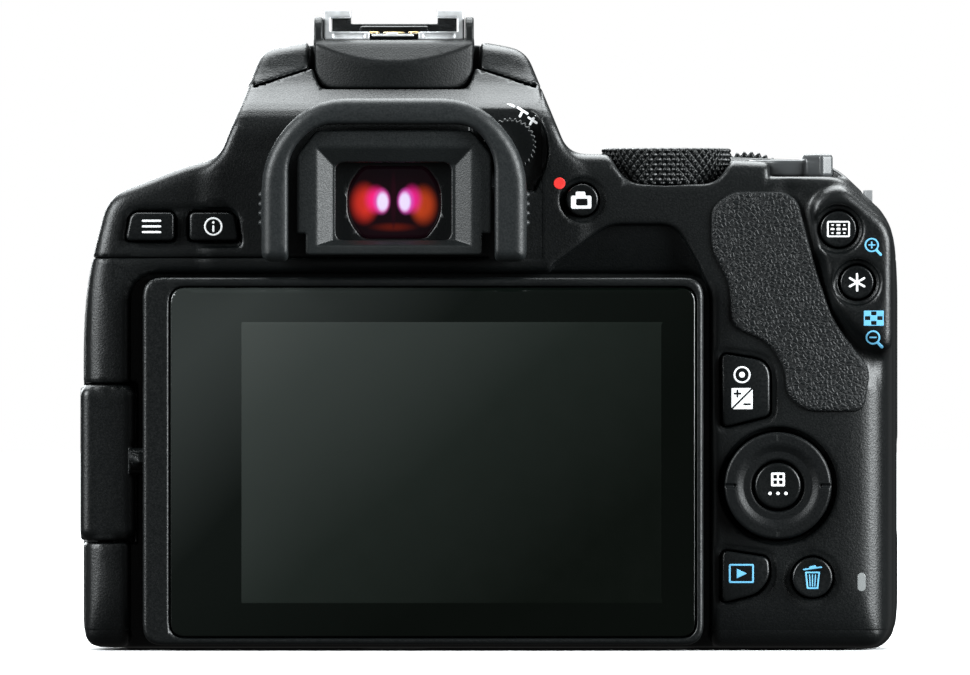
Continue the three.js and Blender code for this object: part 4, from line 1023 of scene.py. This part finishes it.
EYECUP = [
    (-34, 58.4, 1.5), (5.8, 58.4, 1.5), (5.8, 74.4, 7), (-1.6, 82.9, 8), (-26.6, 82.9, 8), (-34, 74.4, 7),
]
EYEHOLE = [(-30.0, 50), (1.0, 50), (1.0, 74.7, 3), (-2.3, 79.0, 3), (-25.9, 79.0, 3), (-30.0, 74.7, 3)]
EYEFRAME = [
    (-27.4, 59.4, 0.5), (-0.8, 59.4, 0.5), (-0.8, 62.6, 0.3), (0.55, 62.6, 0.3), (0.55, 74.3, 0.8),
    (-2.4, 78.1, 0.8), (-25.8, 78.1, 0.8), (-28.75, 74.3, 0.8), (-28.75, 62.6, 0.3), (-27.4, 62.6, 0.3),
]
GLASS_MIDDLE_Z, GLASS_RADIUS = 67.4, 40


def funnel():
    """The sloping sides round the viewfinder's window."""
    def distance(grid):
        depth = (grid[1] + 33.2) / 1.6
        left, right = -26.1 + 2.8 * depth, -2.1 - 2.8 * depth
        low, high = 60.7 + 0.9 * depth, 75.9 - 3.0 * depth
        across = np.maximum(left - grid[0], grid[0] - right)
        upward = np.maximum(low - grid[2], grid[2] - high)
        return np.maximum(np.maximum(across, upward) * 0.5, grid[1] + 31.6)
    return np.array([-27, -36, 60]), np.array([-1.5, -31.4, 77]), distance


def eye_window(start, end, reach):
    """The window's rounded octagon."""
    w, h, c, d = 7.0 + reach, 5.45 + reach, 2.2, 3.0
    x, z = LENS_X, 67.3
    corners = [
        (x - w + c, z - h, 1), (x + w - c, z - h, 1), (x + w, z - h + d, 2), (x + w, z + h - d, 2),
        (x + w - c, z + h, 1), (x - w + c, z + h, 1), (x - w, z + h - d, 2), (x - w, z - h + d, 2),
    ]
    return prism(Y, corners, start, end)


part("eyecup_rubber", (-35.4, -35.8, 57.4), (7.2, -26, 84.2), 0.2, [
    add(prism(Y, EYECUP, -35, -27, 1.7)),
    cut(prism(Y, EYEHOLE, -50, 0), 0.9),
    *[add(capsule((side, -32.6, level), (side, -28.6, level), 0.42), 0.3)
      for side in (-34.1, 5.9) for level in (64.2, 65.6, 67.0, 68.4)],
], RUBBER, "eyecup", ["eyecup"], 0.01)
part("eyecup_plate", (-30, -34, 58.4), (2, -25.8, 79.2), 0.16, [
    add(prism(Y, EYEFRAME, -33, -26.8, 0.35)),
    cut(funnel(), 0.15),
    cut(prism(Y, rectangle(-24.4, 50, -3.8, 75.3), -29.8, -20)),
    cut(prism(Y, rectangle(-22.9, 61.6, -5.5, 73.3, 1.3), OPEN_Y, 0), 0.15),
], INNER, "eyecup", ["eyecup_frame"], 0.01)
part("eyepiece_tube", (-25, -30.4, 59.2), (-3.2, -20.2, 75.8), 0.16, [
    add(prism(Y, rectangle(-24.1, 60, -4.1, 75, 1), -29.5, -21, 0.2)),
    cut(eye_window(OPEN_Y, 0, 0), 0.25),
], TRIM, "camera_body", ["eyepiece_frame"], 0.01)
dome = ball(LENS_X, -28.3 + GLASS_RADIUS, GLASS_MIDDLE_Z, GLASS_RADIUS)
part("eyepiece_glass", (-23, -28.9, 60.4), (-5.4, -26.2, 74.4), 0.16, [
    add(both(eye_window(-28.3, -26.6, -0.05), dome, 0.2)),
], EYEGLASS, "camera_body", ["eyepiece_lens"])


# ---------------------------------------------------------------- printed marks
# A mark is a flat distance in X, Z.
def stroke(ax, az, bx, bz, half):
    """A round-ended line."""
    def flat(x, z):
        ex, ez = bx - ax, bz - az
        t = np.clip(((x - ax) * ex + (z - az) * ez) / max(ex * ex + ez * ez, 1e-9), 0, 1)
        return np.hypot(x - ax - ex * t, z - az - ez * t) - half
    return flat


def disc(cx, cz, radius):
    return lambda x, z: np.hypot(x - cx, z - cz) - radius


def patch(cx, cz, half_x, half_z, r=0.0):
    """A rectangle with rounded corners."""
    return lambda x, z: capped(np.abs(x - cx) - half_x, np.abs(z - cz) - half_z, r)


def polygon(*corners):
    points = np.array(corners, float)
    return lambda x, z: outline_distance(x, z, points)


def join(*shapes):
    return lambda x, z: np.minimum.reduce([shape(x, z) + 0 * (x + z) for shape in shapes])


def less(first, *others):
    return lambda x, z: np.maximum(first(x, z), -join(*others)(x, z))


def line_of(shape, half):
    """The edge of a shape, drawn as a line."""
    return lambda x, z: np.abs(shape(x, z)) - half


def magnifier(x, z):
    """A lens and its handle, with a minus in it."""
    return join(line_of(disc(x, z, 0.95), 0.13), stroke(x + 0.7, z - 0.75, x + 1.35, z - 1.45, 0.2),
                stroke(x - 0.45, z, x + 0.45, z, 0.11))


INK_ABOVE, INK_BELOW = 0.045, 0.12  # how far ink stands out of its surface, and reaches into it


def mark(name, shape, box, material, body, steps, y=-27, depth=0.8):
    """Ink laid on the surface that the steps make, facing back."""
    x0, z0, x1, z1 = box
    field = carve(Field((x0, y - depth, z0), (x1, y + depth, z1), 0.07), steps)
    x, _, z = field.everywhere()
    field.values = np.maximum(field.values - INK_ABOVE, -field.values - INK_BELOW)
    field.keep(shape(x, z), 0.0)
    surface(name, field, material, body)


def cap_mark(button, material, box, shape):
    """A mark on a button's cap."""
    mark(button + "_mark", shape, box, material, button + "_button", cap_steps(BUTTONS[button + "_button"]))


def body_mark(name, material, box, y, depth, shape):
    """A mark on the shell itself."""
    mark(name, shape, box, material, "camera_body", FORM + WELLS, y, depth)


x, z = 14.0, 67.7
cap_mark("live_view", WHITE, (12, 65.5, 16, 70), less(
    join(patch(x, z - 0.35, 1.55, 1.0, 0.3), patch(x - 0.1, z + 0.85, 0.75, 0.4, 0.2)),
    patch(x + 0.1, z - 0.35, 0.85, 0.5, 0.1)))
x, z = 52.7, 63.3
FOCUS_POINT = [(0.3, 0.2), (0.3, 0.16), (0.18, 0.12)]  # half sizes: middle, sides, corners
THREE = (-1, 0, 1)
points = [patch(x + 0.9 * i, z + 0.6 * j, *FOCUS_POINT[abs(i) + abs(j)]) for i in THREE for j in THREE]
cap_mark("focus_point", WHITE, (50.5, 61.5, 54.9, 65.1), join(
    line_of(patch(x, z, 1.6, 1.1, 0.15), 0.13), *points))
x, z = 55.5, 55.3
cap_mark("exposure_lock", WHITE, (53.7, 53.5, 57.3, 57.1), join(*[
    stroke(x, z, x + 1.25 * math.sin(math.pi * i / 3), z + 1.25 * math.cos(math.pi * i / 3), 0.17)
    for i in range(6)]))
x, z = 38.2, 37.8
cap_mark("exposure", WHITE, (36.2, 35.9, 40.2, 43), join(
    less(patch(x, z, 1.6, 1.6, 0.1), stroke(x - 1.6, z - 1.6, x + 1.6, z + 1.6, 0.13),
         stroke(x - 1.15, z + 0.75, x - 0.25, z + 0.75, 0.14),
         stroke(x - 0.7, z + 0.3, x - 0.7, z + 1.2, 0.14),
         stroke(x + 0.3, z - 0.85, x + 1.2, z - 0.85, 0.14)),
    line_of(disc(x, z + 3.6, 1.15), 0.14), disc(x, z + 3.6, 0.45)))
x, z = 38.1, 11.5
cap_mark("playback", CYAN, (35.9, 9.7, 40.3, 13.3), join(
    line_of(patch(x, z, 1.75, 1.3, 0.1), 0.14),
    polygon((x - 0.7, z - 0.75), (x + 0.85, z), (x - 0.7, z + 0.75))))
x, z = 48.8, 10.9
bin_sides = polygon((x - 1.0, z + 0.75), (x - 0.75, z - 1.6), (x + 0.75, z - 1.6), (x + 1.0, z + 0.75))
cap_mark("erase", CYAN, (46.9, 8.9, 50.7, 13), join(
    line_of(bin_sides, 0.13),
    stroke(x - 1.3, z + 1.2, x + 1.3, z + 1.55, 0.13), stroke(x - 0.3, z + 1.5, x + 0.35, z + 1.65, 0.2),
    stroke(x, z + 0.4, x, z - 1.3, 0.09), stroke(x - 0.45, z + 0.4, x - 0.35, z - 1.3, 0.09),
    stroke(x + 0.45, z + 0.4, x + 0.35, z - 1.3, 0.09)))
x, z = PAD_CENTRE
squares = [patch(x + a, z + 0.95 + b, 0.27, 0.27, 0.05) for a in (-0.42, 0.42) for b in (-0.42, 0.42)]
dots = [disc(x + a, z - 1.15, 0.27) for a in (-1.2, 0, 1.2)]
mark("set_mark", join(less(patch(x, z + 0.95, 1.05, 1.05, 0.25), *squares), *dots),
     (41.6, 22.8, 45.6, 27.2), WHITE, "set_button", SET_CAP, SET_Y)
x, z = -50.6, 63.7
cap_mark("menu", WHITE, (x - 2, z - 1.6, x + 2, z + 1.6), join(*[
    stroke(x - 1.3, z + level, x + 1.3, z + level, 0.17) for level in (-0.85, 0, 0.85)]))
x, z = -41.3, 63.7
cap_mark("info", WHITE, (x - 1.8, z - 1.8, x + 1.8, z + 1.8), join(
    line_of(disc(x, z, 1.25), 0.14), disc(x, z + 0.6, 0.2), stroke(x, z + 0.05, x, z - 0.7, 0.16)))

x, z = 57.7, 60.9
body_mark("magnify_mark", CYAN, (56, 58.9, 59.8, 62.4), -26.8, 1.4, join(
    magnifier(x, z), stroke(x, z - 0.45, x, z + 0.45, 0.11)))
x, z = 58.0, 49.9
cells = [patch(x + 0.93 * i, z + 0.72 * j, 0.4, 0.28) for i in THREE for j in THREE if (i + j) % 2]
body_mark("index_mark", CYAN, (56.2, 48.5, 59.8, 51.4), -26.8, 1.4, less(patch(x, z, 1.5, 1.15, 0.1), *cells))
body_mark("reduce_mark", CYAN, (56.2, 45.0, 60.0, 48.5), -26.8, 1.6, magnifier(57.9, 47.0))
body_mark("red_mark", RED, (9.5, 69, 12, 71.5), -26.2, 1.2, disc(10.75, 70.2, 0.88))
body_mark("access_light", LAMP, (55.2, 8.4, 57.3, 12), -25.4, 1.4, patch(56.2, 10.2, 0.62, 1.38, 0.6))
body_mark("dioptre_scale", WHITE, (2.2, 78.6, 8.2, 83), -25.2, 2.4, join(*[stroke(*ends, 0.19) for ends in (
    (2.7, 82.4, 3.9, 81.8), (4.5, 81.6, 5.9, 80.7), (5.2, 81.1, 4.8, 80.3),
    (6.1, 80.1, 7.3, 79.3), (6.35, 79.1, 7.05, 80.3))]))


# ---------------------------------------------------------------- front and top details
SCREW_CIRCLE = 29.6
for number in range(5):
    turn = math.radians(36 + 72 * number)
    x, z = LENS_X + SCREW_CIRCLE * math.cos(turn), LENS_Z + SCREW_CIRCLE * math.sin(turn)
    part("mount_screw_%d" % number, (x - 1.9, 32, z - 1.9), (x + 1.9, 34, z + 1.9), 0.11, [
        add(rod(Y, x, z, 1.3, 32.4, 33.22, 0.15)),
        cut(block(x - 0.95, x + 0.95, 33.0, 34, z - 0.17, z + 0.17), 0.05),
        cut(block(x - 0.17, x + 0.17, 33.0, 34, z - 0.95, z + 0.95), 0.05),
    ], STEEL, "camera_body")
part("mount_index", (LENS_X - 1.6, 32.4, 66.1), (LENS_X + 1.6, 33.8, 69.3), 0.1, [
    add(rod(Y, LENS_X, 67.7, 1.05, 32.7, 33.12, 0.1)),
], RED, "camera_body")
for number in range(9):
    x = -20.9 + 1.7 * number
    part("contact_pin_%d" % number, (x - 0.9, 31.8, 15.4), (x + 0.9, 33, 18), 0.1, [
        add(rod(Y, x, 16.7, 0.55, 32.2, 32.62, 0.15)),
    ], GOLD, "camera_body")
part("lamp_window", (18.4, 13.4, 60.1), (24.6, 16.2, 66.3), 0.13, [
    add(rod(Y, 21.5, 63.2, 2.3, 13.8, 15.1, 0.3)),
    cut(ball(21.5, 15.1 + 6 - 0.35, 63.2, 6), 0.2),
], LAMP, "camera_body")


def flat_marks(name, outlines, bottom, top, material, body):
    """Thin upright prisms in X, Y: marks seen from above."""
    points, faces = [], []
    for outline in outlines:
        first, count = len(points), len(outline)
        points += [(x * MM, y * MM, level * MM) for level in (bottom, top) for x, y in outline]
        faces.append(tuple(range(first + count - 1, first - 1, -1)))
        faces.append(tuple(range(first + count, first + 2 * count)))
        for i in range(count):
            j = (i + 1) % count
            faces.append((first + i, first + j, first + count + j, first + count + i))
    mesh = bpy.data.meshes.new(name)
    mesh.from_pydata(points, [], faces)
    settle(name, mesh, material, body)


DIAL_MARKS = 12
dial_marks = []
for number in range(DIAL_MARKS):
    turn = math.radians(30 * number)
    out, side = np.array([math.cos(turn), math.sin(turn)]), np.array([-math.sin(turn), math.cos(turn)])
    middle = np.array(MODE_DIAL) + out * 6.5
    if number % 3 == 0:
        dial_marks.append(circle(*middle, 0.75, 20))
        continue
    long, wide = (0.95, 0.2) if number % 3 == 1 else (0.45, 0.45)
    corners = ((-1, -1), (1, -1), (1, 1), (-1, 1))
    dial_marks.append([middle + out * a * long + side * b * wide for a, b in corners])
flat_marks("mode_dial_marks", dial_marks, 75.3, 75.49, WHITE, "mode_dial")
flat_marks("lever_mark", [circle(*(KNOB - 0.2), 0.42, 20)], 74.4, 74.68, WHITE, "power_lever")


# ---------------------------------------------------------------- the CAD parts that stay
FINISHES = [
    (LEATHER, ["grip_rubber"]),
    (INNER, ["pentamirror", "mirror_box"]),
    (SCREEN_MATTE, ["focusing_screen"]),
    (RING, ["lens_mount", "lens_lock_pin", "tripod_socket"]),
    (TRIM, ["lens_contacts", "autofocus_unit", "shutter_frame", "memory_card", "terminal_board"]),
    (SENSOR, ["image_sensor"]),
    (BOARD, ["main_board"]),
    (BATTERY, ["battery"]),
    (SILVER, ["strap_lug_left", "strap_lug_right"]),
    (SATIN, ["lens_release_button", "shutter_blade_upper", "shutter_blade_lower", "door_latch"]),
    (MIRROR, ["reflex_mirror", "sub_mirror"]),
    (SHELL, ["battery_door"]),
    (RUBBER, ["terminal_cover", "cord_cover"]),
]
SHARP = {
    "lens_mount", "reflex_mirror", "sub_mirror", "shutter_blade_upper", "shutter_blade_lower", "grip_rubber",
    "lens_lock_pin",
}
for finish, names in FINISHES:
    for name in names:
        cad = bpy.data.objects[name]
        cad.data.materials.clear()
        cad.data.materials.append(finish)
        if name not in SHARP:
            edge = cad.modifiers.new("edge", "BEVEL")
            edge.width = 0.25 * MM
            edge.segments = 2
            edge.limit_method = "ANGLE"
            edge.angle_limit = math.radians(40)
            edge.harden_normals = True


# ---------------------------------------------------------------- studio
scene = bpy.context.scene
LIGHT_TINT = (0.94, 0.985, 1)
FLOOR_HALF = 6
FLOOR_DROP = 0.0001  # keeps the floor from fighting with the base


def placed(name, data, place=(0, 0, 0), rotation=(0, 0, 0)):
    made = bpy.data.objects.new(name, data)
    made.location = place
    made.rotation_euler = rotation
    scene.collection.objects.link(made)
    return made


floor_mesh = bpy.data.meshes.new("floor")
floor_mesh.from_pydata([(x, y, 0) for x, y, _ in rectangle(-FLOOR_HALF, -FLOOR_HALF, FLOOR_HALF, FLOOR_HALF)],
                       [], [(0, 1, 2, 3)])
paper = Finish("pale_floor")
paper.shader(Base_Color=(0.9, 0.9, 0.9, 1), Roughness=0.9, Specular_IOR_Level=0.0)
floor_mesh.materials.append(paper.material)
floor = placed("floor", floor_mesh, (0, 0, -FLOOR_DROP))
floor.visible_glossy = False
floor.visible_diffuse = False

# The backdrop is white to look at, and lights the object only faintly.
world = bpy.data.worlds.new("studio")
world.use_nodes = True
rays = add_node(world.node_tree, "LightPath")
glow = add_node(world.node_tree, "MapRange",
                {"Value": rays.outputs["Is Camera Ray"], "To Min": 0.05, "To Max": 1.0})
backdrop = world.node_tree.nodes["Background"]
backdrop.inputs["Color"].default_value = (1, 1, 1, 1)
world.node_tree.links.new(glow.outputs["Result"], backdrop.inputs["Strength"])
scene.world = world


def softbox(name, place, size, power, aim=(0, 0, 0.05)):
    light = bpy.data.lights.new(name, "AREA")
    light.shape = "RECTANGLE"
    light.size, light.size_y = size
    light.energy = power
    light.color = LIGHT_TINT
    toward = Vector(aim) - Vector(place)
    placed(name, light, place, toward.to_track_quat("-Z", "Y").to_euler())


sky = bpy.data.lights.new("sky", "SUN")
sky.energy = 6.7
sky.angle = math.radians(60)
sky.color = LIGHT_TINT
placed("sky", sky, rotation=(math.radians(-28), 0, 0))
softbox("left", (-0.81, -0.45, 0.42), (0.5, 0.6), 14)
softbox("right", (0.84, -0.44, 0.34), (0.5, 0.65), 21)
softbox("front", (-0.3, 0.85, 0.3), (0.6, 0.4), 6)

CAMERA_DISTANCE = 3.5
VIEW_WIDTH = 0.1459  # how much of the back face's plane the view takes in
view_data = bpy.data.cameras.new("camera")
view_data.lens = view_data.sensor_width * CAMERA_DISTANCE / VIEW_WIDTH
view_data.clip_start = 0.05
view_place = (-0.00045, BACK_Y * MM - CAMERA_DISTANCE, 0.047)
scene.camera = placed("camera", view_data, view_place, (math.radians(90), 0, 0))
scene.view_settings.view_transform = "Standard"
